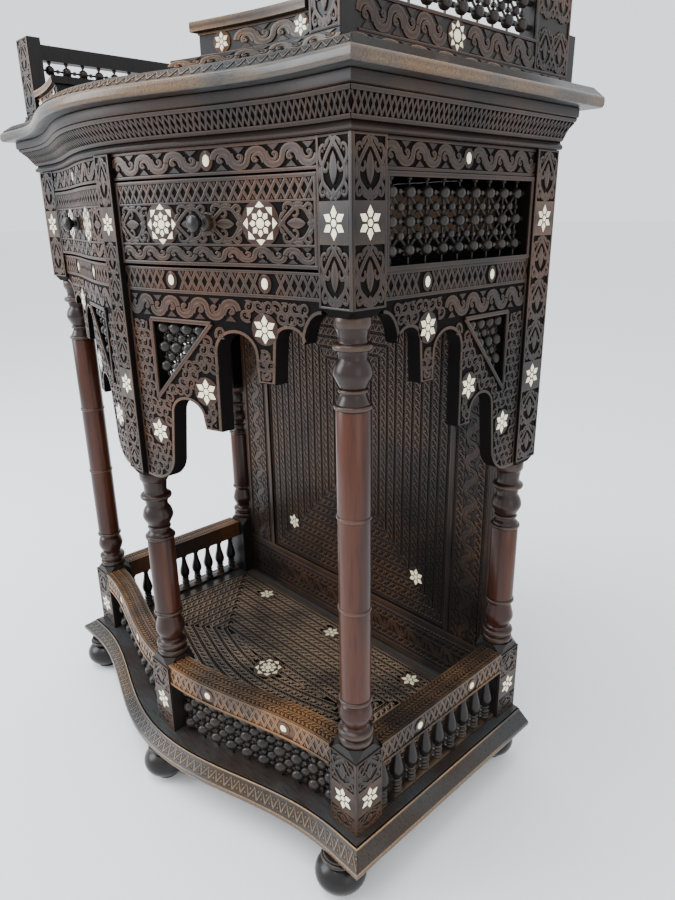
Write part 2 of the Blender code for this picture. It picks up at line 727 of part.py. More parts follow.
def make_upper_sides():
    """Side screens of the upper stage, each with its front post."""
    bottom = STEP_TOP + GAP
    for side, label in ((-1, "left"), (1, "right")):
        outline = rectangle(0.0, UPPER_BACK_FRONT - 0.002, bottom, UPPER_TOP)
        mesh = flat_plate(outline, [rectangle(*UPPER_WINDOW)], SCREEN_PLATE)
        turn_to_side(mesh, side, UPPER_OUTER)
        panel = finish_object("upper_side_" + label, mesh, WOOD)
        post = bmesh.new()
        ends = sorted((side * 0.3258, side * (UPPER_OUTER + 0.0005)))
        cuboid(post, (ends[0], -0.0085, bottom), (ends[1], UPPER_POST_REAR, UPPER_TOP + 0.004))
        union(panel, finish_object("upper_post_blank_" + label, post, WOOD, helper=True))


def make_upper_lattices():
    edge = GAP * 2
    low_y, high_y, low_z, high_z = UPPER_WINDOW
    for side, label in ((-1, "left"), (1, "right")):
        y_lines = bar_lines(low_y + edge, high_y - edge, 9, 0.011)
        z_lines = bar_lines(low_z + edge, high_z - edge, 2, 0.007)
        mesh = grille_plate(y_lines, z_lines, 0.008)
        turn_to_side(mesh, side, UPPER_OUTER - 0.004)
        finish_object("upper_lattice_" + label, mesh, LATTICE_WOOD)


def make_upper_back():
    outline = rectangle(-UPPER_OUTER, UPPER_OUTER, SLAB_TOP + GAP, SLAB_TOP + 0.060)
    outline = outline[:3] + arch(0.0, 0.12, SLAB_TOP + 0.060, 0.030, 8)[::-1] + outline[3:]
    mesh = flat_plate(outline, [], UPPER_REAR - UPPER_BACK_FRONT)
    bmesh.ops.translate(mesh, vec=(0, UPPER_BACK_FRONT, 0), verts=mesh.verts)
    finish_object("upper_back", mesh, WOOD)


def build():
    clear_scene()
    make_plinth()
    make_floor_board()
    make_feet()
    make_pedestals()
    make_columns()
    make_posts()
    make_gallery_rails()
    make_gallery_lattices()
    make_baluster_rows()
    make_back()
    make_front_boards()
    make_side_boards()
    make_screens()
    make_triangle_lattices()
    make_drawer_housing()
    make_drawers()
    make_cornice()
    make_top_slab()
    make_wing_bases()
    make_upper_sides()
    make_upper_lattices()
    make_upper_back()


build()
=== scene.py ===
# %% [markdown]
# # A carved stand cabinet
# The cabinet is a bowed case on turned columns, carved all over and dotted with mother-of-pearl.
# The solid parts come ready made and fixed in place. This lesson dresses them: fine boards, carving,
# ball lattices, turnings and inlays, each riding on the body that it belongs to.

# %% Load the fixed frame
import math

import bpy
import bmesh
import numpy as np
from mathutils import Matrix, Vector


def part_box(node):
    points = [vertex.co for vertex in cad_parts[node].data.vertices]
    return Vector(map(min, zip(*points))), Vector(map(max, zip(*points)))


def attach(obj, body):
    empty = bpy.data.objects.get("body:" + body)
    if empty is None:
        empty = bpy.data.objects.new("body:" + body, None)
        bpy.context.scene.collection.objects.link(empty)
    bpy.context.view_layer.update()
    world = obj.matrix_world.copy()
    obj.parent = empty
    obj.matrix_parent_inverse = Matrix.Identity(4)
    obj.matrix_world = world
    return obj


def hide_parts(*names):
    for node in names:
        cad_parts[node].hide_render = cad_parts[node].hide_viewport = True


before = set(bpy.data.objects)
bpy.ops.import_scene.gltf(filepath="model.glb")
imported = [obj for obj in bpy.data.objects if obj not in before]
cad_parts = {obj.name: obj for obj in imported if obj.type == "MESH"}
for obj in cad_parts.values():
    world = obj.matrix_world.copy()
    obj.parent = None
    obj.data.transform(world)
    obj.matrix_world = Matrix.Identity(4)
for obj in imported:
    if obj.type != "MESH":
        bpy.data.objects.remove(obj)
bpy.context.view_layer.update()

# %% [markdown]
# ## Where things are
# All boards are measured from the front face of the corner posts. The front swells forward in one
# smooth wave, half a cosine on each side of the middle, so one small function gives every curved face.

# %% Main lines of the case, read from the solid parts
X, Y, Z = range(3)
HANDS = ((-1, "left"), (1, "right"))


def span(node, axis):
    """Where a solid part starts and ends along an axis."""
    low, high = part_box(node)
    return low[axis], high[axis]


POST_X, OUTER_X = span("post_front_right", X)
FACE_Y = span("post_front_right", Y)[0]
CASE_TOP = span("post_front_right", Z)[1]
REAR_POST_Y, REAR_Y = span("post_rear_right", Y)
MIDDLE_POST_X = span("post_front_middle", X)[1]
CASE_DEPTH = REAR_Y - FACE_Y
CASE_BOW, BOARD_BOW = 0.066, 0.073  # how far the case and the boards above and below it swell
BOW_SPAN = 0.348
JOINT = 0.0003
CARVE = 0.0014


def swell(x, bow):
    """How far forward the curved front stands at x."""
    return bow * 0.5 * (1 + np.cos(np.pi * np.minimum(np.abs(x), BOW_SPAN) / BOW_SPAN))


def on_front(setback, bow=CASE_BOW):
    """Lay a flat drawing (across, up, out) on the curved front."""
    def place(p):
        return np.stack([p[:, 0], FACE_Y + setback - swell(p[:, 0], bow) - p[:, 2], p[:, 1]], 1)
    return place


def handed(hand, place):
    """The same drawing on the left or on the right half."""
    return lambda p: place(p * (hand, 1, 1))


def on_side(hand, x):
    """Lay a drawing on a side: across runs from the front post's face to the back."""
    def place(p):
        return np.stack([hand * (x + p[:, 2]), FACE_Y + p[:, 0], p[:, 1]], 1)
    return place


def on_flat(y):
    """Lay a drawing on an upright face that looks forward."""
    def place(p):
        return np.stack([p[:, 0], np.full(len(p), y) - p[:, 2], p[:, 1]], 1)
    return place


def on_level(z):
    """Lay a drawing on a level face that looks up."""
    def place(p):
        return np.stack([p[:, 0], FACE_Y + p[:, 1], z + p[:, 2]], 1)
    return place


print("case", round(OUTER_X * 2, 3), "wide,", round(CASE_DEPTH, 3), "deep, top at", round(CASE_TOP, 3))

# %% [markdown]
# ## Camera
# A normal lens held close above the right front corner, looking down a little: verticals draw together
# towards the floor. The camera is a plain turn and tilt, so its axes are built from two angles and a roll.

# %% Camera
EYE = Vector((0.8653, -0.6362, 0.8773))
YAW, TILT, ROLL = (math.radians(a) for a in (46.656, 18.991, -0.896))
LENS, SENSOR = 27.32, 36


def in_scene(name, data):
    """A new object of the scene."""
    item = bpy.data.objects.new(name, data)
    bpy.context.scene.collection.objects.link(item)
    return item


def make_camera():
    ahead = Vector((-math.sin(YAW) * math.cos(TILT), math.cos(YAW) * math.cos(TILT), -math.sin(TILT)))
    right = Vector((math.cos(YAW), math.sin(YAW), 0))
    up = right.cross(ahead)
    axis_x = math.cos(ROLL) * right + math.sin(ROLL) * up
    axis_y = -math.sin(ROLL) * right + math.cos(ROLL) * up
    camera = in_scene("camera", bpy.data.cameras.new("camera"))
    camera.data.lens, camera.data.sensor_width = LENS, SENSOR
    placed = Matrix((axis_x, axis_y, -ahead)).transposed().to_4x4()
    placed.translation = EYE
    camera.matrix_world = placed
    bpy.context.scene.camera = camera


make_camera()
print("camera at", tuple(round(v, 3) for v in EYE))

# %% [markdown]
# ## Writing node trees as sums
# Shader and geometry trees are easier to read as arithmetic. `Wire` wraps one output socket, adds a
# Math node for each operator, and makes any other node with `node`.

# %% Wire: a socket that can be added and multiplied
class Wire:
    def __init__(self, tree, socket=None):
        self.tree, self.socket = tree, socket

    def node(self, kind, sockets=None, output=0, stops=None, **settings):
        made = self.tree.nodes.new(kind)
        for key, value in settings.items():
            setattr(made, key, value)
        if stops:
            ramp = made.color_ramp
            while len(ramp.elements) < len(stops):
                ramp.elements.new(0.5)
            for element, (position, colour) in zip(ramp.elements, stops):
                element.position, element.color = position, colour
        for key, value in (sockets or {}).items():
            if isinstance(value, Wire):
                self.tree.links.new(value.socket, made.inputs[key])
            else:
                made.inputs[key].default_value = value
        return Wire(self.tree, made.outputs[output])

    def math(self, operation, *values, clamp=False):
        return self.node("ShaderNodeMath", dict(enumerate(values)), operation=operation, use_clamp=clamp)

    def __add__(self, other):
        return self.math('ADD', self, other)

    def __sub__(self, other):
        return self.math('SUBTRACT', self, other)

    def __rsub__(self, other):
        return self.math('SUBTRACT', other, self)

    def __mul__(self, other):
        return self.math('MULTIPLY', self, other)

    __radd__, __rmul__ = __add__, __mul__

    def clamped(self):
        return self.math('ADD', self, 0.0, clamp=True)

    def sharpened(self, low, high):
        """0 below low, 1 above high, smooth between."""
        return self.node("ShaderNodeMapRange", {0: self, 1: low, 2: high}, interpolation_type='SMOOTHSTEP')

    def mixed(self, first, second):
        """Between two colours, by this value."""
        return self.node("ShaderNodeMix", {0: self, 6: first, 7: second}, output=2, data_type='RGBA')


print("Wire ready")

# %% [markdown]
# ## Finishes
# The wood is stained almost black, then waxed and handled for a century: sunk grounds are painted near
# black as shade and stay dull, raised tops shine, and edges are rubbed back to tan. Every carved piece
# carries three numbers on
# its points: `rise` (0 in the ground, 1 on top), `edge` (1 along an arris) and `tone` (one cut to the next).

# %% Carved wood
# Near black that paints the shade of the sunk ground; it also darkens the grain fibres
SHADE_AND_GRAIN_BLACK = (0.0034, 0.0025, 0.0022, 1)


def start_material(name):
    material = bpy.data.materials.new(name)
    material.use_nodes = True
    tree = material.node_tree
    return material, Wire(tree), tree.nodes["Principled BSDF"]


def connect(wire, shader, name):
    wire.tree.links.new(wire.socket, shader.inputs[name])


def set_constants(shader, **values):
    for name, value in values.items():
        shader.inputs[name.replace("_", " ")].default_value = value


def carried(wire, name):
    """One of the numbers that a piece carries on its points."""
    return wire.node("ShaderNodeAttribute", attribute_name=name, output=2)


def roughen(wire, shader, height, strength, distance):
    bump = wire.node("ShaderNodeBump", {"Strength": strength, "Distance": distance, "Height": height})
    connect(bump, shader, "Normal")


def stretched_noise(wire, grain, scale, detail=4.0):
    """Noise on object coordinates, drawn out along the grain."""
    place = wire.node("ShaderNodeTexCoord", output=3)
    stretch = [1.0, 1.0, 1.0]
    stretch["xyz".index(grain)] = 0.09
    laid = wire.node("ShaderNodeMapping", {0: place, 3: stretch})
    return wire.node("ShaderNodeTexNoise", {0: laid, 2: scale, 3: detail})


def carved_wood(name, top, patch, worn, grain="x", shine=0.34, wear=0.5, plain=0.0):
    """plain=1 finishes bare boards, which carry no numbers, as if they were all top."""
    material, wire, shader = start_material(name)
    place = wire.node("ShaderNodeTexCoord", output=3)
    rise, edge, tone = carried(wire, "rise") + plain, carried(wire, "edge"), carried(wire, "tone")
    fibres = stretched_noise(wire, grain, 420.0)
    clouds = wire.node("ShaderNodeTexNoise", {0: place, 2: 7.0, 3: 3.0})
    specks = wire.node("ShaderNodeTexNoise", {0: place, 2: 650.0, 3: 2.0})
    patches = (clouds + tone * 0.16).sharpened(0.52, 0.72)
    skin = patches.mixed(top, patch)
    skin = (fibres.sharpened(0.42, 0.75) * 0.55).mixed(skin, SHADE_AND_GRAIN_BLACK)
    rubbed = edge * (specks.sharpened(0.30, 0.65) * 0.6 + 0.4) * clouds.sharpened(0.28, 0.62)
    rubbed = (rubbed * wear).clamped()
    skin = rubbed.mixed(skin, worn)
    # Painted shade: where rise is low, in the sunk ground between the carving, the colour is mixed to near
    # black
    connect(rise.sharpened(0.15, 0.9).mixed(SHADE_AND_GRAIN_BLACK, skin), shader, "Base Color")
    dull = rise * -0.26 + 0.60 + fibres * 0.14 + (shine - 0.34) - rubbed * 0.05
    connect(dull.clamped(), shader, "Roughness")
    roughen(wire, shader, fibres * 0.6 + specks * 0.4, 0.35, 0.0004)
    connect((rise * 0.42).clamped(), shader, "Coat Weight")
    set_constants(shader, Coat_Roughness=shine, Specular_IOR_Level=0.06)
    return material


EBONY_X = carved_wood("ebonised_wood_across", (0.0150, 0.0108, 0.0094, 1), (0.037, 0.0140, 0.0085, 1),
                      (0.18, 0.095, 0.050, 1), "x")
# A darker copy of the ebonised wood: painted shade for the side boards and for the cornice under the slab
EBONY_PAINTED_SHADE = carved_wood("ebonised_wood_painted_shade", (0.0088, 0.0066, 0.0058, 1), (0.019, 0.0092, 0.0064, 1),
                      (0.10, 0.056, 0.031, 1), "y", 0.40)
EBONY_Z = carved_wood("ebonised_wood_upright", (0.0140, 0.0102, 0.0088, 1), (0.033, 0.0140, 0.0090, 1),
                      (0.16, 0.088, 0.047, 1), "z")
HANDLED = carved_wood("handled_wood", (0.026, 0.0185, 0.0145, 1), (0.090, 0.038, 0.016, 1),
                      (0.40, 0.22, 0.10, 1), "x", 0.28, 0.75)
# Lighter cool grey top colour: a painted sheen, the sky-grey reflection on the level and sloping faces of
# plinth and slab
SHELF_PAINTED_SHEEN = carved_wood("shelf_wood_painted_sheen", (0.0420, 0.0430, 0.0430, 1), (0.032, 0.0240, 0.0200, 1),
                    (0.38, 0.22, 0.10, 1), "x", 0.24, 0.85)
PLAIN = carved_wood("plain_wood", (0.0105, 0.0084, 0.0078, 1), (0.018, 0.0105, 0.0082, 1),
                    (0.10, 0.06, 0.03, 1), "z", 0.42, 0.0, 1.0)
FIELD = carved_wood("field_wood", (0.058, 0.047, 0.040, 1), (0.090, 0.048, 0.030, 1),
                    (0.42, 0.30, 0.20, 1), "x", 0.30, 0.7)
print("carved finishes:", 7)

# %% [markdown]
# The turnings are polished instead of carved. Shafts are a red mahogany whose grain runs up the
# column; collars and beads were stained dark and are rubbed pale along their rims. Lattice balls are
# plain near-black polish.

# %% Turned wood, lattice wood and drawer lining
def turned_wood(name, light, deep, collar, shine):
    material, wire, shader = start_material(name)
    edge, dark = carried(wire, "edge"), carried(wire, "rise")
    fibres = stretched_noise(wire, "z", 260.0, 5.0)
    bands = stretched_noise(wire, "z", 34.0, 2.0)
    skin = bands.sharpened(0.35, 0.65).mixed(deep, light)
    skin = (fibres.sharpened(0.45, 0.75) * 0.6).mixed(skin, deep)
    skin = dark.clamped().mixed(skin, collar)
    worn = (edge * bands.sharpened(0.3, 0.6) * 0.22).clamped()
    connect(worn.mixed(skin, (0.42, 0.27, 0.16, 1)), shader, "Base Color")
    connect(fibres * 0.12 + shine, shader, "Roughness")
    roughen(wire, shader, fibres, 0.2, 0.0003)
    set_constants(shader, Specular_IOR_Level=0.26, Coat_Weight=0.08, Coat_Roughness=0.18)
    return material


MAHOGANY = turned_wood("polished_mahogany", (0.060, 0.0165, 0.0070, 1), (0.019, 0.0060, 0.0038, 1),
                       (0.0165, 0.0072, 0.0054, 1), 0.24)
BALL_WOOD = turned_wood("ball_wood", (0.016, 0.012, 0.010, 1), (0.006, 0.0045, 0.004, 1),
                        (0.0085, 0.0068, 0.006, 1), 0.24)
LINING = turned_wood("drawer_lining", (0.105, 0.060, 0.032, 1), (0.060, 0.032, 0.017, 1),
                     (0.1, 0.06, 0.03, 1), 0.62)

# %% [markdown]
# The inlays are mother-of-pearl: a warm white shell with faint clouds of pink and green that come from
# thin layers, cut by hand into small tiles. A soft coat gives the wet shine of polished shell.

# %% Mother-of-pearl
def pearl():
    material, wire, shader = start_material("mother_of_pearl")
    place = wire.node("ShaderNodeTexCoord", output=3)
    clouds = wire.node("ShaderNodeTexNoise", {0: place, 2: 160.0, 3: 3.0, 8: 1.2})
    lustre = [(0.30, (0.72, 0.72, 0.50, 1)), (0.48, (0.94, 0.85, 0.56, 1)), (0.62, (0.98, 0.91, 0.66, 1)),
              (0.80, (0.90, 0.72, 0.48, 1))]
    connect(wire.node("ShaderNodeValToRGB", {0: clouds}, stops=lustre), shader, "Base Color")
    connect(clouds * 0.25 + 0.14, shader, "Roughness")
    set_constants(shader, Coat_Weight=0.5, Coat_Roughness=0.1)
    return material


PEARL = pearl()
print("finishes made:", len(bpy.data.materials))

# %% [markdown]
# ## Drawing with patches
# A `Patch` is loose geometry in a flat drawing: x across, y up, z out of the board. It is drawn once,
# then laid on a curved or flat face by one of the `on_...` functions, so carving never has to be fitted.

# %% Patch: points and faces with the three finish numbers
CHANNELS = ("rise", "edge", "tone")


class Patch:
    def __init__(self):
        self.points, self.faces, self.count = [], [], 0
        self.numbers = {channel: [] for channel in CHANNELS}

    def add(self, points, faces, **numbers):
        points = np.asarray(points, float)
        self.points.append(points)
        self.faces.extend(tuple(i + self.count for i in face) for face in faces)
        for channel in CHANNELS:
            value = numbers.get(channel, 0.5 if channel == "tone" else 0.0)
            self.numbers[channel].append(np.array(np.broadcast_to(value, len(points)), np.float32))
        self.count += len(points)
        return self

    def all_points(self):
        return np.concatenate(self.points) if self.points else np.zeros((0, 3))

    def join(self, other, place=None):
        if other.count:
            points = other.all_points()
            numbers = {c: np.concatenate(other.numbers[c]) for c in CHANNELS}
            self.add(place(points) if place else points, other.faces, **numbers)
        return self

    def laid(self, place):
        return Patch().join(self, place)


def plain_mesh(name, patch):
    mesh = bpy.data.meshes.new(name)
    mesh.from_pydata(patch.all_points(), [], patch.faces)
    for channel in CHANNELS:
        layer = mesh.attributes.new(channel, 'FLOAT', 'POINT')
        layer.data.foreach_set("value", np.concatenate(patch.numbers[channel]))
    return mesh


def face_outwards(mesh):
    shape = bmesh.new()
    shape.from_mesh(mesh)
    bmesh.ops.recalc_face_normals(shape, faces=shape.faces)
    shape.to_mesh(mesh)
    shape.free()


def finish_piece(name, patch, material, node=None, body="carcase", smooth=30):
    """Turn a patch in world place into a piece that rides on a body, in place of a solid part or on it."""
    mesh = plain_mesh(name, patch)
    face_outwards(mesh)
    mesh.shade_smooth()
    mesh.set_sharp_from_angle(angle=math.radians(smooth))
    mesh.materials.append(material)
    piece = in_scene(name, mesh)
    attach(piece, body)
    if node:
        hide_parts(node)


# %% [markdown]
# ## The carver's strokes
# Carving here is raised strapwork on a sunk ground. One stroke is a ribbon with sloping sides and a
# crowned top that follows a smooth path; its width may swell into a leaf. A closed prism makes inlay
# tiles and plain islands, and a straight bar makes frames.

# %% Strokes, tiles and bars
def smooth_path(points, steps=4):
    """Catmull-Rom curve through a few points."""
    points = np.asarray(points, float)
    padded = np.vstack([2 * points[0] - points[1], points, 2 * points[-1] - points[-2]])
    made = []
    for a, b, c, d in zip(padded, padded[1:], padded[2:], padded[3:]):
        for t in np.arange(steps) / steps:
            made.append(0.5 * (2 * b + (c - a) * t + (2 * a - 5 * b + 4 * c - d) * t ** 2
                               + (3 * b - a - 3 * c + d) * t ** 3))
    return np.array(made + [points[-1]])


def lane_faces(lanes, count):
    """Quads round a section of lanes, each count points long, and a cap at both ends."""
    sides = [(k * count + i, k * count + i + 1, (k + 1) % lanes * count + i + 1, (k + 1) % lanes * count + i)
             for k in range(lanes) for i in range(count - 1)]
    return sides + [tuple(k * count for k in range(lanes)),
                    tuple(k * count + count - 1 for k in reversed(range(lanes)))]


def ring_faces(rings, count):
    """Quads between closed rings of count points, one above the other, and a cap at both ends."""
    sides = []
    for low in range(0, (rings - 1) * count, count):
        sides += [(low + i, low + (i + 1) % count, low + count + (i + 1) % count, low + count + i)
                  for i in range(count)]
    return sides + [tuple(reversed(range(count))), tuple(range((rings - 1) * count, rings * count))]


def ribbon(path, width, height=CARVE, draft=0.0004, crowned=True, sink=0.0003, worn=1.0, tone=0.5):
    """A raised stroke along a path, as a closed shell."""
    path = np.asarray(path, float)
    count = len(path)
    ahead = np.gradient(path, axis=0)
    ahead /= np.maximum(np.linalg.norm(ahead, axis=1, keepdims=True), 1e-9)
    across = np.stack([-ahead[:, 1], ahead[:, 0]], 1)
    half = np.broadcast_to(width, count)[:, None] / 2
    section = [(-1, draft, -sink, 0, 0), (-1, 0, height, 1, 1), (1, 0, height, 1, 1), (1, draft, -sink, 0, 0)]
    if crowned:
        section.insert(2, (0, 0, height * 1.22, 1, 0))
    lanes = [np.column_stack([path + across * side * (half + spread), np.full(count, level)])
             for side, spread, level, _, _ in section]
    rise, edge = (np.repeat([mark[k] for mark in section], count) for k in (3, 4))
    faces = lane_faces(len(section), count)
    return Patch().add(np.concatenate(lanes), faces, rise=rise, edge=edge * worn, tone=tone)


def tile(outline, height, bevel=0.0003, sink=0.0003, domed=False, tone=0.5):
    """A closed prism with a bevelled top; a domed one has a middle point, so that it bends with the bow."""
    outline = np.asarray(outline, float)
    count = len(outline)
    middle = outline.mean(0)
    reach = np.linalg.norm(outline - middle, axis=1, keepdims=True)
    inner = middle + (outline - middle) * (1 - bevel / reach)
    rings = [np.column_stack([o, np.full(count, z)])
             for o, z in ((outline, -sink), (outline, height - bevel * 0.6), (inner, height))]
    faces = ring_faces(3, count)
    points, rise, edge = np.concatenate(rings), np.repeat([0, 1, 1], count), np.repeat([0, 1, 0], count)
    if domed:
        points = np.vstack([points, [*middle, height]])
        rise, edge = np.append(rise, 1), np.append(edge, 0)
        faces[-1:] = [(2 * count + i, 2 * count + (i + 1) % count, 3 * count) for i in range(count)]
    return Patch().add(points, faces, rise=rise, edge=edge, tone=tone)


LEVEL_STEP, UPRIGHT_STEP = 0.008, 0.03  # level bars bend with the bow, so they are cut finer


def bar(x0, x1, y0, y1, height=CARVE, **look):
    """A straight plain fillet between two corners of the drawing."""
    if x1 - x0 >= y1 - y0:
        middle = (y0 + y1) / 2
        path = [(x, middle) for x in np.linspace(x0, x1, max(2, int((x1 - x0) / LEVEL_STEP) + 1))]
        return ribbon(path, y1 - y0, height, draft=0.0, **look)
    middle = (x0 + x1) / 2
    path = [(middle, y) for y in np.linspace(y0, y1, max(2, int((y1 - y0) / UPRIGHT_STEP) + 1))]
    return ribbon(path, x1 - x0, height, draft=0.0, **look)


def turned_points(centre, radius, count, start=0.0, stretch=1.0):
    angles = start + np.arange(count) * 2 * np.pi / count
    return np.column_stack([centre[0] + radius * np.cos(angles),
                            centre[1] + radius * stretch * np.sin(angles)])


print("strokes ready")

# %% [markdown]
# ## Setting motifs out with Geometry Nodes
# A carver repeats one motif along a setting-out line, and no two cuts are quite alike. The tree takes
# points that carry a turn and a size, puts the motif on each with a small wobble from a fixed seed,
# stores a tone for each cut, and makes everything real.

# %% The tree that repeats a motif
def open_tree(name, inputs):
    """A geometry tree with named inputs. Returns the tree, its wires by name and its output node."""
    tree = bpy.data.node_groups.new(name, 'GeometryNodeTree')
    for label, kind in inputs:
        tree.interface.new_socket(label, in_out='INPUT', socket_type="NodeSocket" + kind)
    tree.interface.new_socket("Result", in_out='OUTPUT', socket_type="NodeSocketGeometry")
    given = tree.nodes.new("NodeGroupInput")
    wires = {label: Wire(tree, given.outputs[label]) for label, _ in inputs}
    return tree, wires, tree.nodes.new("NodeGroupOutput")


def close_tree(tree, wires, end, instances):
    """Every tree ends in real geometry with its finish."""
    wire = Wire(tree)
    real = wire.node("GeometryNodeRealizeInstances", {"Geometry": instances})
    done = wire.node("GeometryNodeSetMaterial", {"Geometry": real, "Material": wires["Finish"]})
    tree.links.new(done.socket, end.inputs[0])
    return tree


def motif_tree():
    tree, wires, end = open_tree("set_out_motifs", [
        ("Points", "Geometry"), ("Motif", "Object"), ("Wobble", "Float"), ("Seed", "Int"),
        ("Finish", "Material")])
    wire = Wire(tree)
    motif = wire.node("GeometryNodeObjectInfo", {"Object": wires["Motif"]}, output="Geometry")
    turn = wire.node("GeometryNodeInputNamedAttribute", {"Name": "turn"}, data_type='FLOAT')
    size = wire.node("GeometryNodeInputNamedAttribute", {"Name": "size"}, data_type='FLOAT_VECTOR')
    chance = wire.node("FunctionNodeRandomValue", {2: -1.0, 3: 1.0, "Seed": wires["Seed"]}, output=1,
                       data_type='FLOAT')
    rotation = wire.node("ShaderNodeCombineXYZ", {2: chance * wires["Wobble"] + turn})
    placed = wire.node("GeometryNodeInstanceOnPoints", {"Points": wires["Points"], "Instance": motif,
                                                        "Rotation": rotation, "Scale": size})
    toned = wire.node("GeometryNodeStoreNamedAttribute", {"Geometry": placed, "Name": "tone",
                                                          "Value": chance * 0.5 + 0.5},
                      data_type='FLOAT', domain='INSTANCE')
    return close_tree(tree, wires, end, toned)


MOTIF_TREE = motif_tree()


def grow(tree, mesh, inputs):
    """Run a geometry tree on a mesh and return the plain mesh that it makes."""
    host = in_scene("host", mesh)
    modifier = host.modifiers.new("grow", 'NODES')
    modifier.node_group = tree
    identifiers = {s.name: s.identifier for s in tree.interface.items_tree if s.in_out == 'INPUT'}
    for name, value in inputs.items():
        modifier[identifiers[name]] = value
    graph = bpy.context.evaluated_depsgraph_get()
    made = bpy.data.meshes.new_from_object(host.evaluated_get(graph))
    bpy.data.objects.remove(host)
    bpy.data.meshes.remove(mesh)
    return made


def read_patch(mesh):
    """A plain mesh back into a patch."""
    points = np.zeros(len(mesh.vertices) * 3)
    mesh.vertices.foreach_get("co", points)
    numbers = {}
    for channel in CHANNELS:
        layer = mesh.attributes.get(channel)
        if layer:
            values = np.zeros(len(mesh.vertices), np.float32)
            layer.data.foreach_get("value", values)
            numbers[channel] = values
    corners = np.zeros(len(mesh.loops), int)
    mesh.loops.foreach_get("vertex_index", corners)
    starts = np.zeros(len(mesh.polygons), int)
    mesh.polygons.foreach_get("loop_start", starts)
    faces = [tuple(part) for part in np.split(corners, starts[1:])] if len(starts) else []
    patch = Patch().add(points.reshape(-1, 3), faces, **numbers)
    bpy.data.meshes.remove(mesh)
    return patch


MOTIFS = {}


def keep_motif(name, width, height, *patches):
    """Keep a small drawing as an object that the trees can repeat."""
    whole = Patch()
    for patch in patches:
        whole.join(patch)
    mesh = plain_mesh("motif_" + name, whole)
    mesh.attributes.remove(mesh.attributes["tone"])
    face_outwards(mesh)
    MOTIFS[name] = (in_scene("motif_" + name, mesh), width, height)
    print("motif", name, len(mesh.polygons), "faces")


WOBBLE, SEED = 0.03, 7


def set_out(name, spots):
    """Motifs on spots (x, y, turn, width scale, height scale)."""
    spots = np.array(spots, float)
    mesh = bpy.data.meshes.new("spots")
    mesh.from_pydata(np.column_stack([spots[:, :2], np.zeros(len(spots))]), [], [])
    mesh.attributes.new("turn", 'FLOAT', 'POINT').data.foreach_set("value", spots[:, 2].astype(np.float32))
    sizes = np.column_stack([spots[:, 3:5], np.ones(len(spots))]).astype(np.float32)
    mesh.attributes.new("size", 'FLOAT_VECTOR', 'POINT').data.foreach_set("vector", sizes.ravel())
    return read_patch(grow(MOTIF_TREE, mesh, {"Motif": MOTIFS[name][0], "Wobble": WOBBLE, "Seed": SEED,
                                              "Finish": EBONY_X}))


# %% [markdown]
# ## The motifs
# Nine small drawings make all the carving. First the leafy ones: a running vine for friezes, a palmette
# for the posts and a curl for filling. Each is a few strokes, leaves and berries along smooth paths.

# %% Vine, palmette and curl
def mirrored(points, x=-1, y=1):
    return [(x * px, y * py) for px, py in points]


def berry(x, y, radius):
    return tile(turned_points((x, y), radius, 7), CARVE * 1.15, radius * 0.35)


def tapered(path, start, end, **look):
    path = smooth_path(path, 3)
    return ribbon(path, np.linspace(start, end, len(path)), **look)


def leaf(path, width, steps=3, **look):
    path = smooth_path(path, steps)
    t = np.linspace(0, 1, len(path))
    return ribbon(path, 0.0006 + width * np.sin(np.pi * t) ** 0.8, **look)


VINE = (0.036, 0.0230)
VINE_STRETCH = 1.22
t = np.linspace(0, 1, 19)
wave = np.column_stack([VINE[0] * (t - 0.5) - 0.0022 * np.sin(4 * np.pi * t), 0.0085 * np.sin(2 * np.pi * t)])
hook = [(-0.0010, -0.0050), (-0.0036, 0.0010), (-0.0076, 0.0036), (-0.0116, 0.0018), (-0.0122, -0.0024),
        (-0.0092, -0.0036), (-0.0080, -0.0012)]
corner_leaf = [(0.0028, 0.0113), (0.0148, 0.0113), (0.0088, 0.0052)]
vine = Patch()
for part in (ribbon(wave, 0.0052 + 0.0010 * np.abs(np.sin(2 * np.pi * t))), tapered(hook, 0.0040, 0.0018),
             tapered(mirrored(hook, -1, -1), 0.0040, 0.0018), berry(-0.0096, -0.0005, 0.0013),
             berry(0.0096, 0.0005, 0.0013), tile(corner_leaf, CARVE),
             tile(mirrored(corner_leaf, -1, -1), CARVE)):
    vine.join(part, lambda p: p * (VINE_STRETCH, 1, 1))
keep_motif("vine", VINE[0] * VINE_STRETCH, VINE[1], vine)

stem = [(-0.0045, -0.0270), (0.0060, -0.0195), (0.0150, -0.0105), (0.0158, 0.0010), (0.0105, 0.0100),
        (0.0040, 0.0185), (-0.0045, 0.0270)]
low_curl = [(0.0150, -0.0110), (0.0190, -0.0170), (0.0170, -0.0230), (0.0122, -0.0215), (0.0125, -0.0175)]
high_curl = [(0.0155, 0.0030), (0.0192, 0.0100), (0.0180, 0.0180), (0.0128, 0.0200), (0.0112, 0.0158)]
inner_curl = [(0.0145, 0.0000), (0.0100, -0.0020), (0.0068, 0.0020), (0.0078, 0.0058)]
side_leaf = [(0.0195, -0.0105), (0.0190, -0.0030), (0.0196, 0.0050)]
tip_leaf = [(0.0040, 0.0262), (0.0085, 0.0222), (0.0100, 0.0180)]
shapes = [leaf([(0, -0.0135), (0, 0), (0, 0.0145)], 0.0100, 4),
          leaf([(0, -0.0266), (0, -0.0215), (0, -0.0165)], 0.0062),
          leaf([(0, 0.0266), (0, 0.0215), (0, 0.0175)], 0.0062)]
shapes += [leaf(mirrored(side_leaf, hand), 0.0034, 2) for hand in (-1, 1)]
shapes += [leaf(mirrored(tip_leaf, hand, up), 0.0040, 2) for hand in (-1, 1) for up in (-1, 1)]
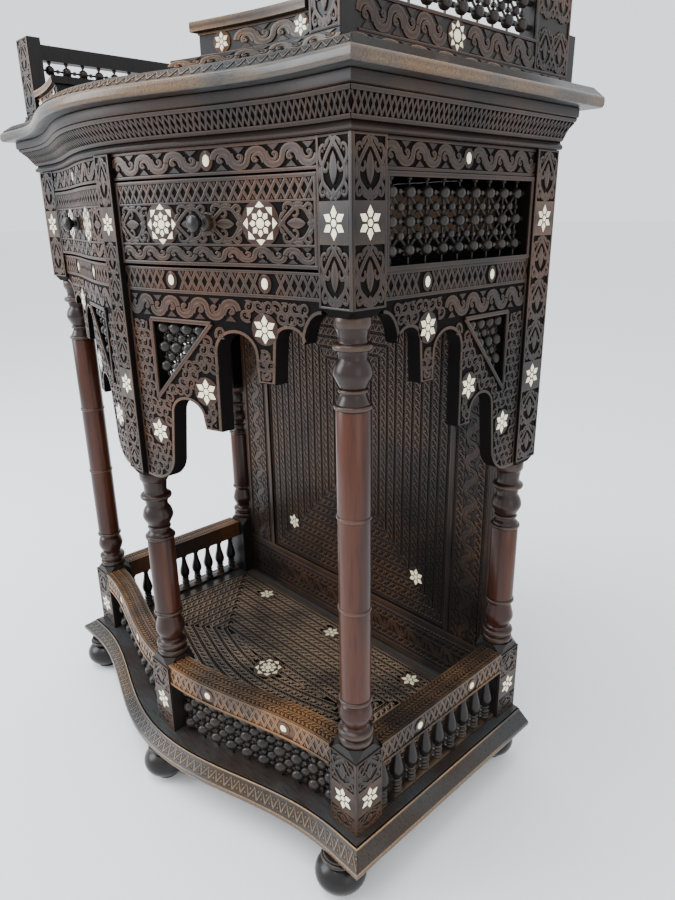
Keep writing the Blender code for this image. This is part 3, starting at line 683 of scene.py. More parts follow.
for hand in (-1, 1):
    shapes.append(tapered(mirrored(stem, hand), 0.0040, 0.0040, height=CARVE * (0.92 if hand < 0 else 1.0)))
    for path in (low_curl, high_curl, inner_curl):
        shapes.append(tapered(mirrored(path, hand), 0.0040, 0.0022))
    shapes.append(berry(hand * 0.0148, -0.0196, 0.0015))
    shapes.append(berry(hand * 0.0148, 0.0152, 0.0017))
keep_motif("palmette", 0.041, 0.054, *shapes)

comma = [(-0.0070, -0.0058), (-0.0010, -0.0066), (0.0052, -0.0032), (0.0060, 0.0030), (0.0012, 0.0062),
         (-0.0036, 0.0034), (-0.0022, -0.0012)]
keep_motif("curl", 0.0150, 0.0150, tapered(comma, 0.0046, 0.0022), berry(0.0010, 0.0012, 0.0014),
           leaf([(-0.0074, 0.0070), (-0.0060, 0.0010), (-0.0068, -0.0034)], 0.0034, 2))

# %% [markdown]
# The plain ones are quicker to cut: a crossed strap for the rails and a finer net for the cornice, a
# sprig and teeth for the nested bands of floor and back, wheat ears for the rail tops and a zigzag for
# the slopes of plinth and slab.

# %% Crossed strap, net, sprig, teeth, wheat and zigzag
def strap(width, height, stroke):
    rising = np.array([(-width / 2, -height / 2), (0, 0), (width / 2, height / 2)])
    falling = rising * (1, -1)
    notch = [(-width * 0.17, height / 2), (width * 0.17, height / 2), (0, height * 0.28)]
    return (ribbon(rising, stroke), ribbon(falling, stroke, CARVE * 0.85),
            tile(notch, CARVE), tile(mirrored(notch, 1, -1), CARVE))


keep_motif("strap", 0.0125, 0.0200, *strap(0.0125, 0.0200, 0.0034))
keep_motif("net", 0.0078, 0.0180, *strap(0.0078, 0.0180, 0.0024)[:2])
twig = [(-0.0070, -0.0040), (-0.0030, -0.0042), (0.0000, 0.0000), (0.0030, 0.0042), (0.0062, 0.0030),
        (0.0050, -0.0002)]
keep_motif("sprig", 0.0140, 0.0100, ribbon(smooth_path(twig, 2), 0.0030, crowned=False),
           tile([(0.0010, -0.0048), (0.0060, -0.0046), (0.0032, -0.0014)], CARVE),
           tile([(-0.0058, 0.0046), (-0.0010, 0.0048), (-0.0036, 0.0012)], CARVE))


def pyramid(half, low, high, height=CARVE):
    points = [(-half, low, -JOINT), (half, low, -JOINT), (0, high, -JOINT),
              (0, low * 0.6 + high * 0.4, height)]
    faces, marks = [(0, 1, 3), (1, 2, 3), (2, 0, 3), (2, 1, 0)], [0, 0, 0, 1]
    return Patch().add(points, faces, rise=marks, edge=marks)


def facing_pair(up, down, shift):
    """One tooth upwards and the next one downwards beside it."""
    return up, down.laid(lambda p: p * (-1, -1, 1) + (shift, 0, 0))


up, down = pyramid(0.0032, -0.0028, 0.0026), pyramid(0.0030, -0.0028, 0.0026)
keep_motif("teeth", 0.0070, 0.0060, *facing_pair(up, down, 0.0035))
ear = [(-0.0028, 0.0008), (0.0002, 0.0045), (0.0030, 0.0086)]
keep_motif("wheat", 0.0070, 0.0200, leaf(ear, 0.0036, 1), leaf(mirrored(ear, 1, -1), 0.0036, 1))
notch = pyramid(0.0032, -0.0052, 0.0012, 0.0009)
chevron = ribbon([(-0.0065, -0.0055), (0, 0.0055), (0.0065, -0.0055)], 0.0016, 0.0008)
keep_motif("zigzag", 0.0130, 0.0130, chevron, *facing_pair(notch, notch, 0.0065))

# %% [markdown]
# ## Panels
# A `Panel` is one carved face: rows of motifs, plain fillets, and pearl stars let into small islands
# that stay uncarved. The carving keeps clear of the islands, as a carver leaves the wood standing there.

# %% Panel
KITE = [(1, 0), (0.60, 0.265), (0.30, 0.115), (0.30, -0.115), (0.60, -0.265)]
INNER_KITE = [(0.62, 0), (0.46, 0.150), (0.29, 0.07), (0.29, -0.07), (0.46, -0.150)]
POINT = [(1, 0), (0.74, 0.265), (0.70, 0), (0.74, -0.265)]
PETAL = [(1, 0), (0.62, 0.235), (0.53, 0), (0.62, -0.235)]


class Panel:
    def __init__(self):
        self.spots, self.wood, self.shell, self.clear = {}, Patch(), Patch(), []

    def spot(self, motif, x, y, turn=0.0, sx=1.0, sy=1.0):
        self.spots.setdefault(motif, []).append((x, y, turn, sx, sy))

    def follow(self, motif, path, across, inset=0.0):
        """A row of a motif along a path, stretched a little so that it fills the length."""
        _, width, height = MOTIFS[motif]
        path = np.asarray(path, float)
        lengths = np.concatenate([[0], np.cumsum(np.linalg.norm(np.diff(path, axis=0), axis=1))])
        span = lengths[-1] - 2 * inset
        if span < width * 0.6:
            return
        count = max(1, round(span / width))
        for i in range(count):
            at = inset + span * (i + 0.5) / count
            x, y = (np.interp(at, lengths, path[:, axis]) for axis in (0, 1))
            ahead = [np.interp(at + 0.002, lengths, path[:, a]) - np.interp(at - 0.002, lengths, path[:, a])
                     for a in (0, 1)]
            self.spot(motif, x, y, math.atan2(ahead[1], ahead[0]), span / count / width, across / height)

    def run(self, motif, x0, x1, y, across):
        self.follow(motif, [(x0, y), (x1, y)], across)

    def climb(self, motif, y0, y1, x, across):
        self.follow(motif, [(x, y0), (x, y1)], across)

    def stack(self, motif, y0, y1, x, across):
        """Upright motifs one above the other."""
        _, width, height = MOTIFS[motif]
        count = max(1, round((y1 - y0) / height / (across / width)))
        for i in range(count):
            self.spot(motif, x, y0 + (y1 - y0) * (i + 0.5) / count, 0.0, across / width,
                      (y1 - y0) / count / height)

    def bar(self, *corners, height=CARVE, **look):
        self.wood.join(bar(*corners, height=height, **look))

    def frame(self, x0, x1, y0, y1, width, height=CARVE):
        for low, high in ((y0, y0 + width), (y1 - width, y1)):
            self.bar(x0, x1, low, high, height=height)
        for low, high in ((x0, x0 + width), (x1 - width, x1)):
            self.bar(low, high, y0 + width, y1 - width, height=height)

    def island(self, x, y, radius, tall=1.0):
        self.clear.append((x, y, radius * 1.15, radius * 1.15 * tall))
        self.wood.join(tile(turned_points((x, y), radius, 16, stretch=tall), CARVE, domed=True, tone=1.4))

    def inlay(self, outline, at, turn):
        """One tile of shell, drawn pointing along x, turned about the middle of its star."""
        c, s = math.cos(turn), math.sin(turn)
        laid = [(at[0] + c * px - s * py, at[1] + s * px + c * py) for px, py in outline]
        self.shell.join(tile(laid, CARVE + 0.00035, 0.0004, sink=-0.0006))

    def star(self, x, y, radius, count, tiles, eye, border):
        """Rings of tiles, drawn for a radius of 1, round a middle piece, on an island a little wider."""
        if border:
            self.island(x, y, radius * border)
        for k in range(count):
            for outline in tiles:
                scaled = [(radius * px, radius * py) for px, py in outline]
                self.inlay(scaled, (x, y), math.pi / 2 + k * math.pi / (count / 2))
        share, sides, start = eye
        self.inlay(turned_points((0, 0), radius * share, sides, start), (x, y), 0)

    def star6(self, x, y, radius=0.0170, border=1.12):
        self.star(x, y, radius, 6, [KITE], (0.245, 8, math.pi / 8), border)

    def star8(self, x, y, radius=0.0240):
        self.star(x, y, radius, 8, [POINT, INNER_KITE], (0.235, 10, 0.0), 1.10)

    def daisy(self, x, y, radius):
        self.star(x, y, radius, 8, [PETAL], (0.42, 14, 0.0), 1.05)

    def dot(self, x, y, rx=0.0046, ry=0.0062):
        self.island(x, y, rx * 1.9, ry / rx * 0.9)
        outline = turned_points((0, 0), rx, 12, stretch=ry / rx) + (x, y)
        self.shell.join(tile(outline, CARVE + 0.0008, 0.0012, sink=-0.0006))

    def carved(self):
        """All the wood of the face, with its motifs set out clear of the islands."""
        wood = Patch().join(self.wood)
        for motif, spots in self.spots.items():
            free = [s for s in spots if not any(((s[0] - x) / rx) ** 2 + ((s[1] - y) / ry) ** 2 < 1
                                                for x, y, rx, ry in self.clear)]
            if free:
                wood.join(set_out(motif, free))
        return wood


PEARLS = {body: Patch() for body in ("carcase", "drawer_left", "drawer_right")}


def lay(panel, place, onto, body="carcase"):
    """Lay a panel on its face: wood onto a patch, shell with the other inlays of its body."""
    onto.join(panel.carved(), place)
    PEARLS[body].join(panel.shell, place)


# %% [markdown]
# ## Boards
# The rails, drawer fronts and bracket boards are cut from plank. Each is a flat outline with its
# openings, given a thickness, sliced into narrow strips so that it bends evenly, then laid on the bow.

# %% Plates with openings
BOARD = 0.018


def plate(outline, holes=(), thickness=BOARD, strips=(), rise=0.0):
    shape = bmesh.new()
    edges = []
    for loop in [outline] + list(holes):
        points = [shape.verts.new((x, y, 0)) for x, y in loop]
        edges += [shape.edges.new((p, points[(i + 1) % len(points)])) for i, p in enumerate(points)]
    bmesh.ops.triangle_fill(shape, use_beauty=True, use_dissolve=False, edges=edges)
    pushed = bmesh.ops.extrude_face_region(shape, geom=shape.faces[:])
    moved = [part for part in pushed["geom"] if isinstance(part, bmesh.types.BMVert)]
    bmesh.ops.translate(shape, vec=(0, 0, -thickness), verts=moved)
    for x in strips:
        bmesh.ops.bisect_plane(shape, geom=shape.verts[:] + shape.edges[:] + shape.faces[:], dist=1e-6,
                               plane_co=(x, 0, 0), plane_no=(1, 0, 0))
    shape.verts.index_update()
    points = [tuple(v.co) for v in shape.verts]
    faces = [tuple(v.index for v in f.verts) for f in shape.faces]
    shape.free()
    return Patch().add(points, faces, rise=rise)


def rectangle(x0, x1, y0, y1):
    return [(x0, y0), (x1, y0), (x1, y1), (x0, y1)]


STRIPS = np.linspace(-BOW_SPAN, BOW_SPAN, 101)[1:-1]
BAY = (MIDDLE_POST_X + JOINT, POST_X - JOINT)
SIDE_BAY = (OUTER_X - POST_X + JOINT, REAR_POST_Y - FACE_Y - JOINT)
print("bay", BAY, "side bay", tuple(round(v, 4) for v in SIDE_BAY))


# %% [markdown]
# ## Friezes and drawer fronts
# A vine runs along each frieze and breaks at a pearl dot. A drawer front carries three bands inside a
# plain frame: crossed straps, palmettes lying on their side with two large stars, and another vine.

# %% Friezes and drawer fronts
FACE_SETBACK = 0.002
FRIEZE_Z = span("frieze_front_right", Z)
DRAWER_X, DRAWER_Z = span("drawer_front_right", X), span("drawer_front_right", Z)
FILLET = 0.0032
FRIEZE_DOT_X = 0.174
DRAWER_STARS, KNOB_X = (0.101, 0.242), 0.169


def bent_board(node, hand, x, z, panel, body="carcase"):
    place = handed(hand, on_front(FACE_SETBACK))
    whole = plate(rectangle(*x, *z), strips=STRIPS).laid(place)
    lay(panel, place, whole, body)
    finish_piece("carved_" + node, whole, EBONY_X, node, body=body)


def frieze_panel(x0, x1, z0, z1, dot_x):
    panel = Panel()
    middle = (z0 + z1) / 2
    panel.bar(x0, x1, z0, z0 + FILLET)
    panel.bar(x0, x1, z1 - FILLET, z1)
    for start, end in ((x0, dot_x - 0.009), (dot_x + 0.009, x1)):
        panel.run("vine", start, end, middle, z1 - z0 - 2 * FILLET - 0.0008)
    panel.dot(dot_x, middle)
    return panel


def drawer_panel():
    """Strap band on top, stars and palmettes in the middle, vine below, and a bare spot for the knob."""
    panel = Panel()
    x0, x1, z0, z1 = *DRAWER_X, *DRAWER_Z
    rim, line = 0.0040, 0.0012
    panel.frame(x0, x1, z0, z1, rim, CARVE * 1.3)
    low, high = z0 + 0.0235, z1 - 0.0260
    for z in (low, high):
        panel.bar(x0 + rim, x1 - rim, z - line, z + line)
    start, end = x0 + 0.0045, x1 - 0.0045
    panel.run("strap", start, end, (high + line + z1 - rim) / 2, z1 - 0.0052 - high - line)
    panel.run("vine", start, end, (low - line + z0 + rim) / 2, low - z0 - 0.0064)
    middle, across = (low + high) / 2, high - low - 0.0036
    _, width, height = MOTIFS["palmette"]
    count = round((x1 - x0 - 0.009) / 0.050)
    pitch = (x1 - x0 - 0.009) / count
    for i in range(count):
        panel.spot("palmette", start + pitch * (i + 0.5), middle, math.pi / 2, across / width, pitch / height)
        for up in (-1, 1) if i else ():
            panel.spot("curl", start + pitch * i, middle + up * across * 0.33, 2 + up, 0.72, 0.72)
    for x in DRAWER_STARS:
        panel.star8(x, middle, 0.0232)
    panel.island(KNOB_X, middle, 0.0128)
    return panel


for hand, label in HANDS:
    bent_board("frieze_front_" + label, hand, BAY, FRIEZE_Z, frieze_panel(*BAY, *FRIEZE_Z, FRIEZE_DOT_X))
    bent_board("drawer_front_" + label, hand, DRAWER_X, DRAWER_Z, drawer_panel(), "drawer_" + label)
print("friezes and drawer fronts")

# %% [markdown]
# ## Bracket boards
# Under each rail hangs a board cut into a stair of horseshoe arches that drops towards the inner post.
# It is drawn once, from the corner post inwards, and laid four times: two on the bow, two on the sides.

# %% Outline and carving of a bracket board
LENGTH = BAY[1] - BAY[0]
RAIL_Z = (0.790, 0.820)
FOOT_Z = 0.533
TRIANGLE = [(0.1580, 0.7560), (0.2570, 0.7560), (0.2570, 0.6530)]
RAIL_DOTS = (BAY[1] - 0.106, BAY[1] - 0.242)
BRACKET_STARS = ((0.082, 0.754), (0.174, 0.670), (0.263, 0.605))


def arch(centre, half_width, spring, rise, steps=14):
    angles = np.pi * (1 - np.arange(steps + 1) / steps)
    return [(centre + half_width * math.cos(a), spring + rise * math.sin(a)) for a in angles]


def quarter(start, end, steps=9):
    angles = 0.5 * np.pi * np.arange(1, steps) / steps
    return [(start[0] + (end[0] - start[0]) * math.sin(a), end[1] + (start[1] - end[1]) * math.cos(a))
            for a in angles]


def lower_edge():
    """The scalloped edge, from the corner post towards the hanging post."""
    points = [(0.0, 0.777)] + quarter((0.0, 0.777), (0.026, 0.742)) + arch(0.0470, 0.0200, 0.742, 0.0155)
    points += [(0.0710, 0.690), (0.0950, 0.690)] + arch(0.1245, 0.0280, 0.722, 0.0250)
    points += [(0.1540, 0.620), (0.1790, 0.620)] + arch(0.2065, 0.0255, 0.634, 0.0215)
    points += [(0.2390, 0.572)] + quarter((0.2830, FOOT_Z), (0.2390, 0.572))[::-1]
    return points + [(0.2830, FOOT_Z), (LENGTH, FOOT_Z)]


def inside(outline, x, y):
    """Whether a line to the left of the point crosses the outline an odd number of times."""
    hit = False
    for (x0, y0), (x1, y1) in zip(outline, outline[1:] + outline[:1]):
        if (y0 > y) != (y1 > y) and x < (x1 - x0) * (y - y0) / (y1 - y0) + x0:
            hit = not hit
    return hit


def gap_to(outline, x, y):
    """Distance from a point to the nearest side of an outline."""
    a = np.array(outline, float)
    b = np.roll(a, -1, 0)
    p = np.array([x, y])
    along = np.clip(((p - a) * (b - a)).sum(1) / np.maximum(((b - a) ** 2).sum(1), 1e-12), 0, 1)
    return np.linalg.norm(a + (b - a) * along[:, None] - p, axis=1).min()


def moved_in(path, distance):
    """A path shifted to its left by a distance, with mitred corners."""
    path = np.array(path, float)
    ahead = np.diff(path, axis=0)
    ahead /= np.linalg.norm(ahead, axis=1, keepdims=True)
    normal = np.column_stack([-ahead[:, 1], ahead[:, 0]])
    before, after = np.vstack([normal[:1], normal]), np.vstack([normal, normal[-1:]])
    mitre = before + after
    mitre /= np.maximum((mitre * before).sum(1, keepdims=True), 0.9)
    return path + mitre * distance


def fill_with_curls(panel, outline, top, pitch=0.0128):
    """Curls on a staggered grid, wherever there is room between the edges, the lattice and the vine."""
    for row in range(33):
        for column in range(27):
            x, y = (column + 0.5 * (row % 2)) * pitch + 0.006, 0.543 + row * pitch * 0.88
            under_vine = y > 0.757 and x > 0.112
            if y > top or under_vine or not inside(outline, x, y) or inside(TRIANGLE, x, y):
                continue
            if gap_to(outline, x, y) >= 0.0060 and gap_to(TRIANGLE, x, y) >= 0.0068:
                panel.spot("curl", x, y, (row * 2 + column * 3) % 4 * math.pi / 2, 0.88, 0.88)


def bracket_drawing():
    """The board and its carving, x from the corner post inwards."""
    edge = lower_edge()
    outline = [(0.0, RAIL_Z[1])] + edge + [(LENGTH, RAIL_Z[1])]
    board = plate(outline, [TRIANGLE], strips=np.arange(0.004, LENGTH, 0.0045))
    panel = Panel()
    low, high = RAIL_Z
    panel.bar(0, LENGTH, high - FILLET, high)
    panel.bar(0, LENGTH, low, low + FILLET * 1.2)
    middle = (low + high) / 2 + 0.0004
    panel.run("strap", 0.0, LENGTH, middle, high - low - 2.2 * FILLET - 0.0008)
    for x in RAIL_DOTS:
        panel.dot(x, middle)
    panel.wood.join(ribbon(moved_in(edge, 0.0021), 0.0036, crowned=False, draft=0.0))
    panel.bar(LENGTH - 0.0034, LENGTH, 0.5365, low)
    for (x0, y0), (x1, y1) in zip(TRIANGLE, TRIANGLE[1:] + TRIANGLE[:1]):
        panel.wood.join(ribbon([(x0, y0), (x1, y1)], 0.0052, 0.0032, draft=0.0))
    panel.run("vine", 0.118, LENGTH - 0.004, 0.7735, 0.0262)
    for x, y in BRACKET_STARS:
        panel.star6(x, y, 0.0165)
    fill_with_curls(panel, outline, low - 0.004)
    for x, y in ((0.083, 0.7015), (0.083, 0.722), (0.1665, 0.6315), (0.1665, 0.648)):
        panel.spot("sprig", x, y, math.pi / 2, 1.1, 0.9)
    return board, panel


BRACKET, BRACKET_PANEL = bracket_drawing()
BRACKET_CARVING = BRACKET_PANEL.carved()
print("bracket carving:", len(BRACKET_CARVING.faces), "faces")

# %% [markdown]
# On the front the board follows the bow, mirrored for the left half. On the sides it is stretched to the
# depth of the case and is one plank with the frieze above it and the window for the ball lattice.

# %% Bracket boards on the bow, side boards with frieze and window
BOARD_SETBACK = 0.004
SIDE_X = OUTER_X - BOARD_SETBACK
STRETCH = (SIDE_BAY[1] - SIDE_BAY[0]) / LENGTH
WINDOW = (SIDE_BAY[0] + 0.006, SIDE_BAY[1] - 0.006, 0.8240, 0.9150)
SIDE_FRIEZE_LOW, SIDE_DOT = 0.9195, 0.188


def bracket_front(hand, depth=0.0):
    """Place the bracket drawing on the bow, depth behind the board's face."""
    return lambda p: on_front(BOARD_SETBACK + depth)(np.column_stack([hand * (BAY[1] - p[:, 0]), p[:, 1:]]))


def bracket_side(hand, depth=0.0):
    return lambda p: on_side(hand, SIDE_X - depth)(
        np.column_stack([SIDE_BAY[0] + p[:, 0] * STRETCH, p[:, 1:]]))


def side_upper_panel():
    panel = frieze_panel(*SIDE_BAY, SIDE_FRIEZE_LOW, CASE_TOP - JOINT, SIDE_DOT)
    x0, x1, y0, y1 = WINDOW
    panel.frame(x0 - 0.0045, x1 + 0.0045, y0 - 0.0036, y1 + 0.0036, 0.0050, 0.0030)
    return panel


UPPER_BOARD = rectangle(*SIDE_BAY, RAIL_Z[1] + 0.0001, CASE_TOP - JOINT)
for hand, label in HANDS:
    to_front, to_side = bracket_front(hand), bracket_side(hand)
    whole = BRACKET.laid(to_front).join(BRACKET_CARVING, to_front)
    finish_piece("carved_apron_front_" + label, whole, EBONY_X, "apron_front_" + label)
    whole = BRACKET.laid(to_side).join(BRACKET_CARVING, to_side)
    whole.join(plate(UPPER_BOARD, [rectangle(*WINDOW)]), on_side(hand, SIDE_X))
    lay(side_upper_panel(), on_side(hand, SIDE_X), whole)
    # The side boards take the darker copy of the wood, which paints the shade of the sides
    finish_piece("carved_side_panel_" + label, whole, EBONY_PAINTED_SHADE, "side_panel_" + label)
    for place in (to_front, to_side):
        PEARLS["carcase"].join(BRACKET_PANEL.shell, place)
print("bracket and side boards")

# %% [markdown]
# ## Posts and pedestals
# The square posts keep their solid parts as sunk ground. Each shown face gets a plain edge on both
# sides, palmettes one above the other, and a star on a plain block. The edge strip of the front face
# laps round the corner so that the arris stays whole.

# %% Carved faces of posts and pedestals
PEDESTAL_Z = span("pedestal_front_right", Z)[0], span("pedestal_front_right", Z)[1] - 0.013
RIM, END_RIM = 0.0030, 0.0022
STAR_BLOCK = 0.0215
CHAMFER = 0.008  # the foot of a post is cut back and stays plain


def post_face(width, z0, z1, stars, lap=0.0):
    """Drawing of one face, x from its middle; lap widens the outer strip round the corner."""
    panel = Panel()
    half = width / 2
    panel.bar(-half, -half + RIM, z0, z1)
    panel.bar(half - RIM, half + lap, z0, z1)
    inner = half - RIM
    panel.bar(-inner, inner, z0, z0 + END_RIM)
    panel.bar(-inner, inner, z1 - END_RIM, z1)
    cuts = [z0 + END_RIM]
    for z in sorted(stars):
        cuts += [z - STAR_BLOCK, z + STAR_BLOCK]
        panel.bar(-inner, inner, z - STAR_BLOCK + 0.0006, z + STAR_BLOCK - 0.0006)
        panel.star6(0, z, min(0.0170, inner * 0.93), border=None)
    cuts.append(z1 - END_RIM)
    for low, high in zip(cuts[::2], cuts[1::2]):
        if high - low > 0.012:
            panel.stack("palmette", low, high, 0.0, 2 * inner - 0.0012)
    return panel


def dress(name, *faces, material=EBONY_Z):
    """faces: (panel, place) pairs; the relief stands on the solid part, which stays."""
    whole = Patch()
    for panel, place in faces:
        lay(panel, place, whole)
    finish_piece(name, whole, material)


def front_of(x, y):
    return lambda p: on_flat(y)(p + (x, 0, 0))


def side_of(hand, x, y):
    return lambda p: on_side(hand, x)(p + (y - FACE_Y, 0, 0))


SQUARE = OUTER_X - POST_X
CORNER_X = OUTER_X - SQUARE / 2
for hand, label in HANDS:
    corner = handed(hand, front_of(hand * CORNER_X, FACE_Y))
    corner_side = side_of(hand, OUTER_X, FACE_Y + SQUARE / 2)
    rear_side = side_of(hand, OUTER_X, REAR_Y - SQUARE / 2)
    post_z = span("post_front_" + label, Z)[0] + CHAMFER, CASE_TOP
    dress("carving_post_front_" + label, (post_face(SQUARE, *post_z, (0.8695,), CARVE), corner),
          (post_face(SQUARE, *post_z, (0.8695,)), corner_side))
    post_z = span("post_rear_" + label, Z)[0] + CHAMFER, CASE_TOP
    dress("carving_post_rear_" + label, (post_face(SQUARE, *post_z, (0.869, 0.661)), rear_side))
    dress("carving_pedestal_front_" + label, (post_face(SQUARE, *PEDESTAL_Z, (0.137,), CARVE), corner),
          (post_face(SQUARE, *PEDESTAL_Z, (0.139,)), corner_side))
    dress("carving_pedestal_rear_" + label, (post_face(SQUARE, *PEDESTAL_Z, (0.143,)), rear_side))
post_z = span("post_front_middle", Z)[0] + CHAMFER, CASE_TOP
dress("carving_post_front_middle", (post_face(2 * MIDDLE_POST_X, *post_z, (0.870, 0.663)),
                                    front_of(0, span("post_front_middle", Y)[0])))
dress("carving_pedestal_front_middle", (post_face(SQUARE, *PEDESTAL_Z, (0.140,)),
                                        front_of(0, span("pedestal_front_middle", Y)[0])))
print("posts and pedestals")

# %% [markdown]
# ## Turned pieces
# A turner works with a few shapes: a flat disc, a half-round bead, and long sweeps that swell into a
# bulb or draw in to a neck. A profile is a list of (radius, height, worn edge, dark stain) made from them.

# %% The turner's shapes
def disc(low, high, radius, dark=1.0, soft=0.0010):
    return [(radius - soft, low, 0, dark), (radius, low + soft, 0.3, dark),
            (radius, high - soft, 0.3, dark), (radius - soft, high, 0, dark)]


def bead(z, core, bulge, half, dark=1.0, worn=0.5, steps=6):
    angles = np.linspace(-np.pi / 2, np.pi / 2, steps + 1)
    return [(core + bulge * math.cos(a), z + half * math.sin(a), worn * math.cos(a) ** 3, dark)
            for a in angles]


def sweep(*marks, dark=1.0, steps=5):
    return [(r, z, 0, dark) for r, z in smooth_path(marks, steps)]


def turned(profile, segments=32, place=lambda p: p):
    """A closed turned solid about its own axis, laid by place."""
    profile = np.array(profile, float)
    profile[:, 0] = np.maximum(profile[:, 0], 0.0004)
    angles = np.arange(segments) * 2 * np.pi / segments
    rings = [np.column_stack([r * np.cos(angles), r * np.sin(angles), np.full(segments, z)])
             for r, z, _, _ in profile]
    return Patch().add(place(np.concatenate(rings)), ring_faces(len(profile), segments),
                       edge=np.repeat(profile[:, 2], segments), rise=np.repeat(profile[:, 3], segments))


def standing(x, y):
    return lambda p: p + (x, y, 0)


def standing_on(node):
    """Upright in the middle of a solid part."""
    return standing(sum(span(node, X)) / 2, sum(span(node, Y)) / 2)


def turned_piece(name, node, patch, material=BALL_WOOD, body="carcase", smooth=45):
    finish_piece(name, patch, material, node, body, smooth)


print("turner's shapes ready")

# %% [markdown]
# The columns share one profile: a disc and bulb at the foot, a plain shaft with thin rings, and a neck,
# bulb and torus under the post. Tall ones stand at the front corners, short ones carry the hanging posts.

# %% Columns, feet and knobs
COLUMN_BASE = span("column_front_right", Z)[0]
SHAFT = 0.0200


def column(top, shaft, neck, bulb, torus, rings=()):
    base, (low, high) = COLUMN_BASE, shaft
    profile = disc(base, base + 0.0085, 0.0226)
    profile += [(0.0192, base + 0.0100, 0, 1), (0.0192, base + 0.0120, 0, 1)]
    profile += bead(base + 0.0175, 0.0190, 0.0047, 0.0050)
    profile += sweep((0.0170, base + 0.0245), (0.0163, base + 0.0270), (0.0198, base + 0.0345),
                     (0.0227, base + 0.0440), (0.0205, base + 0.0550), (0.0170, low - 0.0060), dark=0.55)
    profile += bead(low, 0.0178, 0.0044, 0.0034) + [(SHAFT, low + 0.0040, 0, 0)]
    for ring in rings:
        profile += [(SHAFT, ring - 0.0040, 0, 0), *bead(ring, SHAFT, 0.0014, 0.0026, 0.3),
                    (SHAFT, ring + 0.0040, 0, 0)]
    profile += [(SHAFT, high - 0.0045, 0, 0)] + bead(high, 0.0192, 0.0031, 0.0032)
    profile += sweep((0.0192, high + 0.0038), (0.0178, high + 0.0065), (0.0150, neck - 0.0060),
                     (0.0146, neck - 0.0030))
    profile += bead(neck, 0.0146, 0.0026, 0.0024)
    profile += sweep((0.0150, neck + 0.0030), (0.0192, bulb - 0.0085), (0.0222, bulb - 0.0010),
                     (0.0202, bulb + 0.0085), (0.0156, bulb + 0.0165))
    profile += bead(torus, 0.0172, 0.0057, 0.0046)
    profile += sweep((0.0168, torus + 0.0052), (0.0164, torus + 0.0105), (0.0178, top - 0.0165),
                     (0.0198, top - 0.0128))
    return profile + disc(top - 0.0122, top - JOINT, 0.0208)


TALL = column(0.7765, (0.2875, 0.6767), 0.6950, 0.7145, 0.7436, (0.4213, 0.5432))
SHORT = column(0.5290, (0.2950, 0.4245), 0.4400, 0.4593, 0.4900)
angles = np.radians(np.linspace(-62, 62, 15))
FOOT = [(0.019, 0.0, 0, 1)] + [(0.036 * math.cos(a), 0.027 + 0.026 * math.sin(a), 0, 1) for a in angles]
FOOT += [(0.0180, 0.0505, 0, 1)] + bead(0.0550, 0.0230, 0.0042, 0.0028) + disc(0.0585, 0.0627, 0.0240)
KNOB = [(0.0060, -0.0075, 0, 1)] + disc(-0.0058, 0.0022, 0.0096)
KNOB += sweep((0.0066, 0.0034), (0.0050, 0.0052), (0.0062, 0.0072), (0.0096, 0.0100), (0.0108, 0.0132),
              (0.0094, 0.0166), (0.0056, 0.0188), (0.0010, 0.0195))

CORNERS = ("front_left", "front_middle", "front_right", "rear_left", "rear_right")
for corner in CORNERS:
    column_node, foot_node = "column_" + corner, "foot_" + corner
    profile = TALL if corner in ("front_left", "front_right") else SHORT
    whole = turned(profile, 40, standing_on(column_node))
    turned_piece("turned_column_" + corner, column_node, whole, MAHOGANY)
    turned_piece("bun_foot_" + corner, foot_node, turned(FOOT, 32, standing_on(foot_node)))
for _, label in HANDS:
    node = "drawer_knob_" + label
    x, tip, z = sum(span(node, X)) / 2, span(node, Y)[0] + KNOB[-1][1], sum(span(node, Z)) / 2
    whole = turned(KNOB, 28, lambda p: np.stack([x + p[:, 0], tip - p[:, 2], z + p[:, 1]], 1))
    turned_piece("turned_knob_" + label, node, whole, body="drawer_" + label)
print("turned pieces")

# %% [markdown]
# Under each side rail stand nine small vases on a sill: a foot, a swelling body, a long neck and a
# little capital, all one profile turned nine times.

# %% Vase balusters of the side galleries
LEDGE = span("gallery_balusters_right", Z)[0]
RAIL_LOW, RAIL_HIGH = span("gallery_rail_front_right", Z)
RAIL_DEPTH = 0.034
BALUSTERS, BALUSTER_X = 9, OUTER_X - 0.014
SILL, SILL_HALF = 0.0045, 0.009
foot = LEDGE + 0.0040
VASE = disc(foot, foot + 0.0050, 0.0086) + bead(foot + 0.0085, 0.0060, 0.0020, 0.0022)
VASE += disc(foot + 0.0125, foot + 0.0165, 0.0084)
VASE += [(0.0056, foot + 0.0180, 0, 1), (0.0056, foot + 0.0195, 0, 1)]
VASE += bead(foot + 0.0220, 0.0060, 0.0018, 0.0020)
VASE += sweep((0.0062, foot + 0.0250), (0.0094, foot + 0.0310), (0.0107, foot + 0.0380),
              (0.0092, foot + 0.0470), (0.0062, foot + 0.0590), (0.0046, foot + 0.0700),
              (0.0050, foot + 0.0740), steps=3)
VASE += bead(foot + 0.0765, 0.0048, 0.0024, 0.0018) + disc(foot + 0.0800, RAIL_LOW - JOINT, 0.0074)
for hand, label in HANDS:
    whole = bar(*SIDE_BAY, -SILL_HALF, SILL_HALF, SILL, sink=0).laid(lambda p: np.stack(
        [hand * (BALUSTER_X + p[:, 1]), FACE_Y + p[:, 0], LEDGE + p[:, 2]], 1))
    for i in range(BALUSTERS):
        y = FACE_Y + SIDE_BAY[0] + (SIDE_BAY[1] - SIDE_BAY[0]) * (i + 0.5) / BALUSTERS
        whole.join(turned(VASE, 20, standing(hand * BALUSTER_X, y)))
    turned_piece("vase_balusters_" + label, "gallery_balusters_" + label, whole)
print("balusters")

